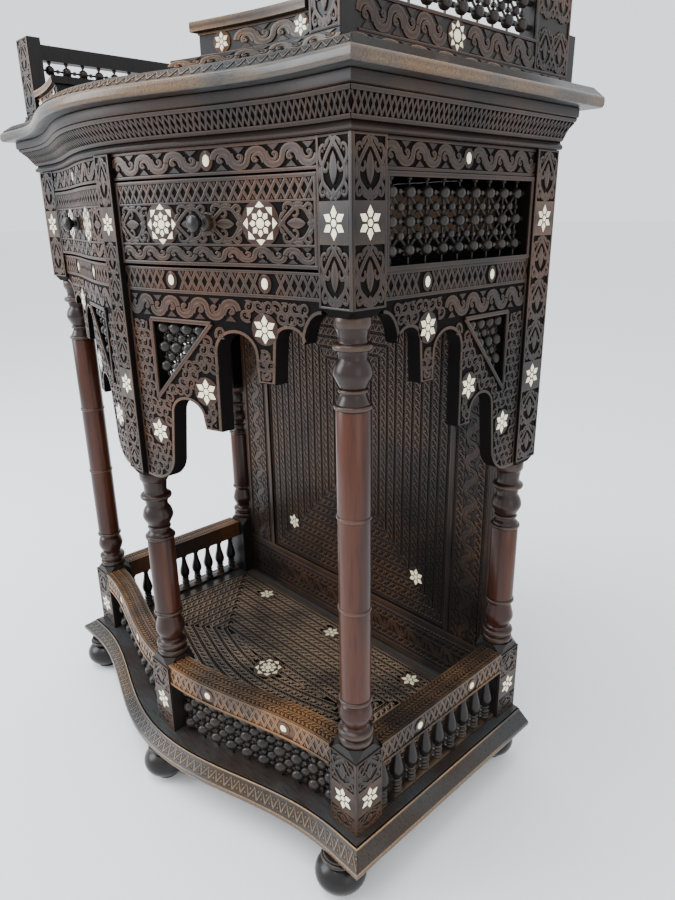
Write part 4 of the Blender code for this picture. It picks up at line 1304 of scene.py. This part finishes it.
# %% [markdown]
# ## Ball lattices
# The screens are strung from turned balls: big balls in straight rows joined by spindles, and smaller
# ones in the gaps. The tree makes a grid from four numbers and hangs one ball with its spindles on
# every point; the small balls are the same tree run again with one column and one row fewer.

# %% The tree that strings balls on a grid
def lattice_tree():
    tree, wires, end = open_tree("string_balls", [
        ("Ball", "Object"), ("Columns", "Int"), ("Rows", "Int"), ("Column pitch", "Float"),
        ("Row pitch", "Float"), ("Finish", "Material")])
    wire = Wire(tree)
    ball = wire.node("GeometryNodeObjectInfo", {"Object": wires["Ball"]}, output="Geometry")
    grid = wire.node("GeometryNodeMeshGrid", {
        "Vertices X": wires["Columns"], "Vertices Y": wires["Rows"],
        "Size X": (wires["Columns"] - 1.0) * wires["Column pitch"],
        "Size Y": (wires["Rows"] - 1.0) * wires["Row pitch"]}, output="Mesh")
    strung = wire.node("GeometryNodeInstanceOnPoints", {"Points": grid, "Instance": ball})
    return close_tree(tree, wires, end, strung)


LATTICE_TREE = lattice_tree()


def rod(start, end, radius, sides=5):
    """A thin round spindle in the plane of the drawing."""
    start, end = Vector((*start, 0)), Vector((*end, 0))
    turn = Vector((0, 0, 1)).rotation_difference(end - start).to_matrix()
    points = [turn @ Vector((radius * math.cos(a), radius * math.sin(a), z)) + start
              for z in (0, (end - start).length) for a in np.arange(sides) * 2 * np.pi / sides]
    return Patch().add([tuple(p) for p in points], ring_faces(2, sides), rise=1)


def ball(x, y, radius, sides=8, rows=5):
    angles = np.linspace(-np.pi / 2, np.pi / 2, rows + 1)[1:-1]
    profile = [(radius * math.cos(a), radius * math.sin(a), 0.12, 1) for a in angles]
    return turned(profile, sides, standing(x, y))


def keep_balls(name, column, row, radius, bead_radius, spindle, small):
    """A ball with beaded spindles to half way of its neighbours, and the small ball for the gaps."""
    keep_motif(name, column, row, ball(0, 0, radius, 10, 7), rod((-column / 2, 0), (column / 2, 0), spindle),
               rod((0, -row / 2), (0, row / 2), spindle), ball(0, row / 2 - 0.001, bead_radius, 6, 4),
               ball(column / 2 - 0.001, 0, bead_radius, 6, 4))
    x, y = column * 0.36, row * 0.36
    keep_motif(name + "_small", column, row, ball(0, 0, small), rod((-x, -y), (x, y), spindle),
               rod((-x, y), (x, -y), spindle))


def string_balls(name, columns, rows, column, row, centre):
    made = grow(LATTICE_TREE, bpy.data.meshes.new("empty"), {
        "Ball": MOTIFS[name][0], "Columns": columns, "Rows": rows, "Column pitch": column, "Row pitch": row,
        "Finish": BALL_WOOD})
    return read_patch(made).laid(lambda p: p + (*centre, 0))


def screen(name, edges, columns, rows, *sizes):
    """A rectangular screen: big balls, small balls between, and outer spindles that reach the frame."""
    x0, x1, y0, y1 = edges
    column, row = (x1 - x0) / columns, (y1 - y0) / rows
    centre = ((x0 + x1) / 2, (y0 + y1) / 2)
    keep_balls(name, column, row, *sizes)
    whole = string_balls(name, columns, rows, column, row, centre)
    return whole.join(string_balls(name + "_small", columns - 1, rows - 1, column, row, centre))


print("lattice tree ready")

# %% [markdown]
# Three screens are rectangles. The bracket boards hold a right-angled triangle of balls instead, set out
# row by row like the motifs, each row one ball shorter than the one above.

# %% Screens of the case sides, the bracket boards, the gallery and the upper stage
SLACK = 0.0006
CASE_SCREEN = (WINDOW[0] + SLACK, WINDOW[1] - SLACK, WINDOW[2] + SLACK, WINDOW[3] - SLACK)
GALLERY_SCREEN = (BAY[0] + 0.0062, BAY[1] - SLACK, LEDGE + 0.0004, RAIL_LOW - JOINT)
UPPER_SCREEN = (0.0206, 0.3024, 1.0686, 1.1174)
FINE_BALLS = (0.0076, 0.0036, 0.0015, 0.0056)  # ball, bead, spindle and small ball
COARSE_BALLS = (0.0102, 0.0050, 0.0020, 0.0082)
BRACKET_BALL = (0.0082, 0.0036, 0.0015, 0.0062)
STRUNG = {"case_ball": screen("case_ball", CASE_SCREEN, 9, 3, *FINE_BALLS),
          "gallery_ball": screen("gallery_ball", GALLERY_SCREEN, 10, 3, *COARSE_BALLS),
          "upper_ball": screen("upper_ball", UPPER_SCREEN, 10, 2, *FINE_BALLS)}


def triangle_screen(column=0.0210, row=0.0250):
    keep_balls("bracket_ball", column, row, *BRACKET_BALL)
    right, top = TRIANGLE[1]
    big = [(right - 0.0105 - column * i, top - 0.0110 - row * j) for j in range(4) for i in range(4 - j)]
    small = [(right - 0.0210 - column * i, top - 0.0235 - row * j) for j in range(3) for i in range(3 - j)]
    whole = set_out("bracket_ball", [(x, y, 0, 1, 1) for x, y in big if gap_to(TRIANGLE, x, y) > 0.006])
    return whole.join(set_out("bracket_ball_small", [(x, y, 0, 1, 1) for x, y in small]))


BRACKET_BALLS = triangle_screen()
IN_BOARD = 0.0085
for hand, label in HANDS:
    screens = {"side_lattice_": STRUNG["case_ball"].laid(on_side(hand, SIDE_X - 0.010)),
               "apron_lattice_front_": BRACKET_BALLS.laid(bracket_front(hand, IN_BOARD)),
               "apron_lattice_side_": BRACKET_BALLS.laid(bracket_side(hand, IN_BOARD)),
               "upper_lattice_": STRUNG["upper_ball"].laid(on_side(hand, OUTER_X - 0.0115)),
               "gallery_lattice_": STRUNG["gallery_ball"].laid(handed(hand, on_front(0.018)))}
    for node, whole in screens.items():
        turned_piece("strung_" + node + label, node + label, whole, smooth=60)
print("screens:", ", ".join(f"{k} {len(v.faces)}" for k, v in STRUNG.items()))

# %% [markdown]
# ## Mouldings swept round the plan
# Plinth, slab and cornice follow the same plan: straight sides and a serpentine front. A section is a
# list of (projection, height, rise, worn edge) and is carried round the plan at about a hundred stations.

# %% Sweeping a section round the plan
STATIONS = 110
SLAB_REACH = 0.0416


def board_bow(projection):
    return BOARD_BOW + projection * 0


def cornice_bow(projection):
    """The bow grows from that of the case to that of the slab as the cornice flares."""
    return CASE_BOW + (BOARD_BOW - CASE_BOW) * np.maximum(projection, 0) / SLAB_REACH


def plan(projection, rear, bow):
    side = OUTER_X + projection
    xs = np.linspace(BOW_SPAN, -BOW_SPAN, STATIONS + 1)
    front = np.column_stack([xs, -projection - swell(xs, bow)])
    return np.vstack([[(side, rear), (side, -projection)], front, [(-side, -projection), (-side, rear)]])


def pocket():
    """Plan of the floor board's recess, with the same stations."""
    xs = np.linspace(POST_X, -POST_X, STATIONS + 1)
    front = np.column_stack([xs, RAIL_DEPTH - swell(xs, CASE_BOW)])
    rear = CASE_DEPTH - 0.0285
    return np.vstack([[(POST_X, rear), (POST_X, front[0, 1] + 0.001)], front,
                      [(-POST_X, front[0, 1] + 0.001), (-POST_X, rear)]])


def moulding(rings, joined):
    """Closed solid from plans at heights (plan, height, rise, edge), with the faces that joined makes."""
    count = len(rings[0][0])
    points = [np.column_stack([p[:, 0], FACE_Y + p[:, 1], np.full(count, z)]) for p, z, _, _ in rings]
    rise, edge = (np.repeat([ring[k] for ring in rings], count) for k in (2, 3))
    return Patch().add(np.concatenate(points), joined(len(rings), count), rise=rise, edge=edge)


def on_slope(start, end, bow_at, hand=None):
    """Lay a drawing on a sloping face between two points of a section; y runs up the slope."""
    (p0, z0), (p1, z1) = start, end
    length = math.dist(start, end)

    def place(p):
        share = p[:, 1] / length
        out = p0 + (p1 - p0) * share + (z1 - z0) / length * p[:, 2]
        z = z0 + (z1 - z0) * share - (p1 - p0) / length * p[:, 2]
        if hand:
            return np.stack([hand * (OUTER_X + out), FACE_Y - out + p[:, 0] * (1 + out / CASE_DEPTH), z], 1)
        x = p[:, 0] * (1 + out / OUTER_X)
        return np.stack([x, FACE_Y - out - swell(x, bow_at(out)), z], 1)
    return place


print("plan stations:", len(plan(0, CASE_DEPTH, CASE_BOW)))

# %% [markdown]
# The plinth steps out, slopes back and ends in a bead round the floor. The slab has a full round edge
# and a carved slope above it. The cornice is a long flare between two fillets, covered with the net.

# %% Plinth, slab and cornice
# In these sections a rise below 1 paints shade: 0 paints the plinth's groove, the floor's seat and the
# cornice's flare near black, and 0.7 and 0.6 darken the carved slopes part way
PLINTH = [(0.0284, 0.0630, 1, 0), (0.0314, 0.0637, 1, 0.6), (0.0324, 0.0660, 1, 0.2),
          (0.0324, 0.0698, 1, 0.3), (0.0319, 0.0716, 1, 0.9), (0.0308, 0.0724, 0.7, 0.05),
          (0.0146, 0.0845, 0.7, 0.05), (0.0140, 0.0862, 1, 1), (0.0128, 0.0868, 1, 1),
          (0.0119, 0.0854, 0, 0), (0.0107, 0.0854, 0, 0), (0.0100, 0.0880, 1, 0.0)]
PLINTH_SLOPE = (0.0308, 0.0724), (0.0146, 0.0845)
FLOOR_SEAT = 0.0802
SLAB_LOW = span("top_slab", Z)[0]
SLAB = [(0.0370, 0.0, 1, 0), (0.0395, 0.0008, 1, 0.1), (0.0411, 0.0026, 1, 0.35), (0.0416, 0.0050, 1, 0.5),
        (0.0416, 0.0092, 1, 0.3), (0.0410, 0.0116, 1, 0.5), (0.0394, 0.0134, 1, 0.5),
        (0.0384, 0.0140, 0.6, 0.05), (0.0266, 0.0236, 0.6, 0.05), (0.0255, 0.0246, 1, 0.0)]
SLAB_SLOPE = (0.0384, SLAB_LOW + 0.0140), (0.0266, SLAB_LOW + 0.0236)
CORNICE_LOW, CORNICE_TOP = span("cornice", Z)
CORNICE = [(-0.020, CORNICE_LOW, 1, 0), (0.0035, CORNICE_LOW, 1, 0), (0.0052, CORNICE_LOW + 0.0012, 1, 0.2),
           (0.0056, CORNICE_LOW + 0.0032, 1, 0.3), (0.0048, CORNICE_LOW + 0.0052, 1, 0.2),
           (0.0028, CORNICE_LOW + 0.0068, 1, 0), (0.0018, CORNICE_LOW + 0.0090, 0, 0),
           (0.0026, CORNICE_LOW + 0.0104, 0, 0), (0.0214, 0.9866, 0, 0),
           (0.0222, 0.9868, 1, 0.5), (0.0240, 0.9878, 1, 0.6), (0.0245, 0.9895, 1, 0.3),
           (0.0245, 0.9974, 1, 0.3), (0.0238, CORNICE_TOP, 1, 0), (-0.020, CORNICE_TOP, 1, 0)]
CORNICE_SLOPE = (0.0026, CORNICE_LOW + 0.0104), (0.0214, 0.9866)


def slope_panel(motif, slope, start, end, share, inset=0.0, fillets=False):
    """A row of a motif over a share of the slope, with a plain fillet above and below if asked."""
    length = math.dist(*slope)
    panel = Panel()
    panel.run(motif, start + inset, end - inset, length / 2, length * share)
    if fillets:
        panel.bar(start, end, 0.0, length * (0.48 - share / 2))
        panel.bar(start, end, length * (0.52 + share / 2), length)
    return panel


def carried_round(section, rear, bow_at, base=0.0):
    """A plan for every point of a section, at its height over base."""
    return [(plan(p, rear, bow_at(p)), base + z, rise, edge) for p, z, rise, edge in section]


FRONT_END = OUTER_X - 0.001
inner = pocket()
rings = carried_round(PLINTH, CASE_DEPTH, board_bow)
plinth = moulding(rings + [(inner, PLINTH[-1][1], 1, 0), (inner, FLOOR_SEAT, 0, 0)], ring_faces)
slab = moulding(carried_round(SLAB, span("top_slab", Y)[1] - FACE_Y, board_bow, SLAB_LOW), ring_faces)
# Plinth and slab take the shelf finish, whose grey top colour is a painted sheen
for whole, slope, name, node in ((plinth, PLINTH_SLOPE, "moulded_plinth", "plinth"),
                                 (slab, SLAB_SLOPE, "moulded_slab", "top_slab")):
    lay(slope_panel("zigzag", slope, -FRONT_END, FRONT_END, 0.86), on_slope(*slope, board_bow), whole)
    finish_piece(name, whole, SHELF_PAINTED_SHEEN, node)

cornice = moulding(carried_round(CORNICE, CASE_DEPTH, cornice_bow), lane_faces)
lay(slope_panel("net", CORNICE_SLOPE, -FRONT_END, FRONT_END, 0.66, fillets=True),
    on_slope(*CORNICE_SLOPE, cornice_bow), cornice)
for hand, _ in HANDS:
    lay(slope_panel("net", CORNICE_SLOPE, 0.0, CASE_DEPTH, 0.66, 0.001, True),
        on_slope(*CORNICE_SLOPE, cornice_bow, hand), cornice)
# The cornice takes the darker copy of the wood, which paints the shade under the overhanging slab
finish_piece("moulded_cornice", cornice, EBONY_PAINTED_SHADE, "cornice")
print("plinth, slab and cornice")

# %% [markdown]
# ## Gallery rails
# Low rails close the niche. Their tops, where hands and sleeves rest, carry two rows of wheat ears and
# are the most worn wood of the cabinet; their fronts carry crossed straps with two pearl dots.

# %% Gallery rails
FRONT_RAIL_DOTS, SIDE_RAIL_DOTS = (0.107, 0.241), (0.1265, 0.2486)


def rail_face(x0, x1, dots):
    panel = Panel()
    low, high = RAIL_LOW + 0.0040, RAIL_HIGH - 0.0034
    panel.bar(x0, x1, RAIL_LOW, low - 0.0004, height=0.0028)
    panel.bar(x0, x1, high, RAIL_HIGH)
    panel.run("strap", x0, x1, (low + high) / 2, high - low - 0.0008)
    for x in dots:
        panel.dot(x, (low + high) / 2 - 0.0006, 0.0052, 0.0056)
    return panel


def rail_top(x0, x1):
    panel = Panel()
    for y0, y1 in ((0, 0.0022), (0.0160, 0.0178), (RAIL_DEPTH - 0.0022, RAIL_DEPTH)):
        panel.bar(x0, x1, y0, y1, height=0.0008)
    for y in (0.0091, 0.0248):
        panel.run("wheat", x0, x1, y, 0.0136)
    return panel


def gallery_rail(node, bay, dots, face, top, strips=()):
    whole = plate(rectangle(*bay, RAIL_LOW, RAIL_HIGH), (), RAIL_DEPTH, strips, rise=1).laid(face)
    lay(rail_face(*bay, dots), face, whole)
    lay(rail_top(*bay), top, whole)
    finish_piece("carved_" + node, whole, HANDLED, node)


def front_top(p):
    return np.stack([p[:, 0], FACE_Y + p[:, 1] - swell(p[:, 0], CASE_BOW), RAIL_HIGH + p[:, 2]], 1)


def side_top(p):
    return np.stack([OUTER_X - p[:, 1], FACE_Y + p[:, 0], RAIL_HIGH + p[:, 2]], 1)


for hand, label in HANDS:
    gallery_rail("gallery_rail_front_" + label, BAY, FRONT_RAIL_DOTS, handed(hand, on_front(0)),
                 handed(hand, front_top), STRIPS)
    gallery_rail("gallery_rail_side_" + label, SIDE_BAY, SIDE_RAIL_DOTS, on_side(hand, OUTER_X),
                 lambda p: side_top(p) * (hand, 1, 1))
print("gallery rails")

# %% [markdown]
# ## Floor and back of the niche
# Both are carpeted with nested bands: a row of teeth, a thin fillet, a row of sprigs, and so on inwards.
# On the floor the front bands follow the bow, so the field closes like the rings of a pond round one
# large star.

# %% Nested bands
TEETH_WIDTH, SPRIG_WIDTH, THIN = 0.0062, 0.0102, 0.0014
NEST_DEPTH = 0.200


def nested(panel, half, low_at, high, steps=40):
    """Rings inside a field: straight sides and top, and a lower edge given by low_at(x)."""
    def edges(inset):
        top = high - inset
        xs = np.linspace(0.0, max(half - inset, 0.001), 200)
        reach = xs[low_at(xs) + inset < top].max(initial=0.0)
        xs = np.linspace(-reach, reach, steps)
        front = np.column_stack([xs, low_at(xs) + inset])
        return [front, [(reach, front[-1, 1]), (reach, top)], [(reach, top), (-reach, top)],
                [(-reach, top), (-reach, front[0, 1])]]
    inset = 0.0
    while inset < NEST_DEPTH and edges(inset + THIN)[0][-1][0] > 0.01:
        for motif, width in (("teeth", TEETH_WIDTH), ("sprig", SPRIG_WIDTH)):
            for path in edges(inset + THIN / 2):
                if math.dist(path[0], path[-1]) > 0.01:
                    panel.wood.join(ribbon(path, THIN, crowned=False, draft=0.0))
            for path in edges(inset + THIN + width / 2):
                panel.follow(motif, path, width - 0.0004, width * 0.3)
            inset += THIN + width
    return inset


FIELD_HALF, FIELD_REAR, STAR_ROW = 0.3205, 0.3265, 0.300
floor = Panel()
nested(floor, FIELD_HALF, lambda x: 0.0350 - swell(x, CASE_BOW), FIELD_REAR)
floor.bar(-FIELD_HALF, FIELD_HALF, FIELD_REAR + 0.002, 0.3460, worn=0.1, tone=-1.0)
floor.star8(0, 0.141, 0.0250)
for x in (-0.207, 0, 0.207):
    floor.star6(x, STAR_ROW, 0.0165)
dress("carving_floor", (floor, on_level(span("floor_board", Z)[1])), material=FIELD)

PANEL_LOW, PANEL_HALF = span("back_panel", Z)[0], span("back_panel", X)[1]
HIDDEN_ABOVE = 0.806
back = Panel()
closed_in = nested(back, PANEL_HALF - 0.001, lambda x: PANEL_LOW + 0.001 + x * 0, HIDDEN_ABOVE, 2)
core, core_low, core_high = PANEL_HALF - 0.001 - closed_in, PANEL_LOW + closed_in, HIDDEN_ABOVE - closed_in
for side in (-1, 1):
    back.bar(side * core - THIN / 2, side * core + THIN / 2, core_low, core_high)
back.climb("vine", core_low + 0.004, core_high - 0.004, 0.0, 2 * core - 0.005)
for x in (-0.169, 0.169):
    back.star6(x, 0.259, 0.0165)
dress("carving_back_panel", (back, on_flat(span("back_panel", Y)[0])))
print("nested bands closed in by", round(closed_in, 4))

# %% [markdown]
# The frame round the back panel is flat: on its lower rail and both stiles five bands run side by side,
# a vine between sprigs and teeth, up to the height where the bracket boards hide it.

# %% Bands of the back frame
BANDS = (("teeth", TEETH_WIDTH), ("sprig", SPRIG_WIDTH), ("vine", 0.0260), ("sprig", SPRIG_WIDTH),
         ("teeth", TEETH_WIDTH))


def banded(panel, start, end, low, high, upright):
    """Five bands side by side across a stile or rail, with thin fillets between."""
    total = sum(width for _, width in BANDS) + THIN * (len(BANDS) + 1)
    at = (low + high - total) / 2

    def lay_bar(a, b):
        panel.bar(*((a, b, start, end) if upright else (start, end, a, b)))

    lay_bar(low, at - 0.0008)
    lay_bar(high - (at - low) + 0.0008, high)
    for motif, width in BANDS:
        lay_bar(at, at + THIN)
        middle = at + THIN + width / 2
        (panel.climb if upright else panel.run)(motif, start, end, middle, width - 0.0006)
        at += THIN + width
    lay_bar(at, at + THIN)


FRAME_LOW, FRAME_HALF = span("back_frame", Z)[0], span("back_frame", X)[1]
frame_face = Panel()
banded(frame_face, -FRAME_HALF, FRAME_HALF, FRAME_LOW + 0.002, PANEL_LOW - 0.006, False)
frame_face.bar(-FRAME_HALF, FRAME_HALF, PANEL_LOW - 0.0050, PANEL_LOW - 0.0006, height=0.0030)
for hand, _ in HANDS:
    ends = sorted((hand * FRAME_HALF, hand * (PANEL_HALF + 0.001)))
    banded(frame_face, PANEL_LOW, HIDDEN_ABOVE, *ends, True)
dress("carving_back_frame", (frame_face, on_flat(span("back_frame", Y)[0])))
print("floor and back")

# %% [markdown]
# ## Upper stage
# A low gallery stands on the slab behind a shelf on each wing: a carved step, a band with pearl stars,
# a plain shelf edge, and at each end a post with a pierced screen running back.

# %% Upper stage
BASE_OUT = span("upper_base_right", X)[1]
STEP_TOP, BAND_TOP = 1.0345, 1.0567
STEP_Z = (span("upper_base_right", Z)[0], STEP_TOP)
BAND_X = (0.182, 0.3220)
SIDE_FACE = 0.3665
SIDE_LENGTH = (0.0125, 0.3826)
SIDE_Z = (1.0352, 1.1398)
OPENING_X, OPENING_Z = (0.0190, 0.3040), (1.0665, 1.1190)
RIDGE = 0.0022


def band_with_stars():
    panel = Panel()
    start, end = BAND_X
    middle = (STEP_TOP + BAND_TOP) / 2
    panel.bar(start, end, STEP_TOP + 0.0004, STEP_TOP + RIDGE)
    panel.bar(start, end, BAND_TOP - 0.0018, BAND_TOP)
    panel.run("vine", start + 0.001, end, middle, 0.0176)
    for x in (0.211, 0.311):
        panel.star6(x, middle + 0.0005, 0.0092)
    return panel


def step_panel(x0, x1):
    panel = Panel()
    panel.bar(x0, x1, STEP_Z[0], STEP_Z[0] + 0.0012)
    panel.run("vine", x0, x1, sum(STEP_Z) / 2, 0.0082)
    return panel


def screen_side():
    """Vines above and below the lattice, and two palmettes on the post behind it."""
    panel = Panel()
    (x0, x1), (z0, z1), (first, last), (low, high) = SIDE_LENGTH, SIDE_Z, OPENING_X, OPENING_Z
    panel.frame(first - 0.003, last + 0.003, low - 0.002, high + 0.002, 0.0030, RIDGE)
    panel.bar(x0, x1, z0, z0 + RIDGE)
    panel.bar(x0, x1, z1 - RIDGE, z1)
    panel.run("vine", x0, last, (z0 + low) / 2, low - z0 - 0.0050)
    panel.run("vine", x0, last, (z1 + high) / 2, z1 - high - 0.0052)
    panel.daisy(0.158, (z0 + low) / 2, 0.0145)
    for x in (last + 0.0040, x1 - 0.0030):
        panel.bar(x, x + 0.0030, z0 + RIDGE, z1 - RIDGE)
    for z in (z0 + 0.025, z1 - 0.025):
        panel.run("palmette", last + 0.0075, x1 - 0.0035, z, 0.044)
    return panel


shelf = Panel()
shelf.bar(0.1770, 0.3224, 1.0580, 1.0668, height=0.0008)
UPPER_POST_X = 0.34635
for hand, label in HANDS:
    dress("carving_upper_base_" + label, (step_panel(0.1505, 0.3680), handed(hand, on_front(-0.012))),
          (step_panel(0.0, 0.3830), on_side(hand, BASE_OUT)),
          (band_with_stars(), handed(hand, on_front(-0.004))),
          (shelf, handed(hand, on_front(-0.010))), material=HANDLED)
    post = front_of(hand * UPPER_POST_X, span("upper_side_" + label, Y)[0])
    dress("carving_upper_side_" + label, (screen_side(), on_side(hand, SIDE_FACE)),
          (post_face(0.0410, 1.0360, 1.1430, ()), post), material=EBONY_X)
print("upper stage")

# %% [markdown]
# ## The solid parts that stay in view
# Posts, pedestals, floor and back keep their solid parts as the sunk ground behind the carving, and the
# drawer boxes show when a drawer is open. Each gets one of the finishes made above.

# %% Finishes on the remaining solid parts
# Painted shade: parts that carry no rise numbers under a finish made without plain (posts, floor board,
# drawer housing) take the near-black ground colour all over
KEPT = {"floor_board": FIELD, "back_frame": PLAIN, "back_panel": PLAIN, "drawer_housing": EBONY_X,
        "upper_back": PLAIN}
for corner in CORNERS:
    KEPT["post_" + corner], KEPT["pedestal_" + corner] = EBONY_Z, PLAIN
for _, label in HANDS:
    KEPT["drawer_box_" + label] = LINING
    KEPT["upper_base_" + label] = KEPT["upper_side_" + label] = PLAIN
for name, material in KEPT.items():
    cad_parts[name].data.materials.clear()
    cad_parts[name].data.materials.append(material)
for body, patch in PEARLS.items():
    finish_piece("pearl_inlay_" + body, patch, PEARL, body=body)
for item, _, _ in MOTIFS.values():
    bpy.data.objects.remove(item)
print("kept parts:", len(KEPT))

# %% [markdown]
# ## Light and surroundings
# Daylight from a wide window on the left and slightly in front, a softer one overhead, and white paper
# below and around: level and left-facing woods turn a cool grey, helped on plinth and slab by a painted grey
# sheen, and the right side stays dark and warm, helped by the painted shade of the darker side finish.

# %% Floor, world and lamps
def sheet(name, size, height, colour):
    mesh = bpy.data.meshes.new(name)
    corners = [(x, y, height) for x, y in rectangle(-size, size, -size, size)]
    mesh.from_pydata(corners, [], [(0, 1, 2, 3)])
    paper, _, shader = start_material(name)
    set_constants(shader, Base_Color=colour, Roughness=0.9)
    mesh.materials.append(paper)
    in_scene(name, mesh)


def soft_lamp(name, place, aim, size, power, colour):
    lamp = bpy.data.lights.new(name, 'AREA')
    lamp.shape, lamp.size, lamp.size_y = 'RECTANGLE', *size
    lamp.energy, lamp.color = power, colour
    item = in_scene(name, lamp)
    item.location = place
    item.rotation_euler = (Vector(aim) - Vector(place)).to_track_quat('-Z', 'Y').to_euler()


sheet("paper_floor", 60.0, 0.0, (0.92, 0.92, 0.92, 1))
world = bpy.data.worlds.new("daylight")
bpy.context.scene.world = world
world.use_nodes = True
set_constants(world.node_tree.nodes["Background"], Color=(0.93, 0.96, 1.0, 1), Strength=1.6)
soft_lamp("window", (-2.0, -2.2, 1.9), (0, 0, 0.5), (1.6, 2.0), 95, (0.86, 0.93, 1.0))
soft_lamp("ceiling", (-0.3, -0.9, 3.2), (0, 0, 0.4), (2.4, 1.6), 70, (0.92, 0.96, 1.0))
soft_lamp("side_fill", (2.6, -0.6, 1.2), (0, 0, 0.6), (1.2, 1.6), 8, (1.0, 0.95, 0.88))

print("lamps:", len(bpy.data.lights))
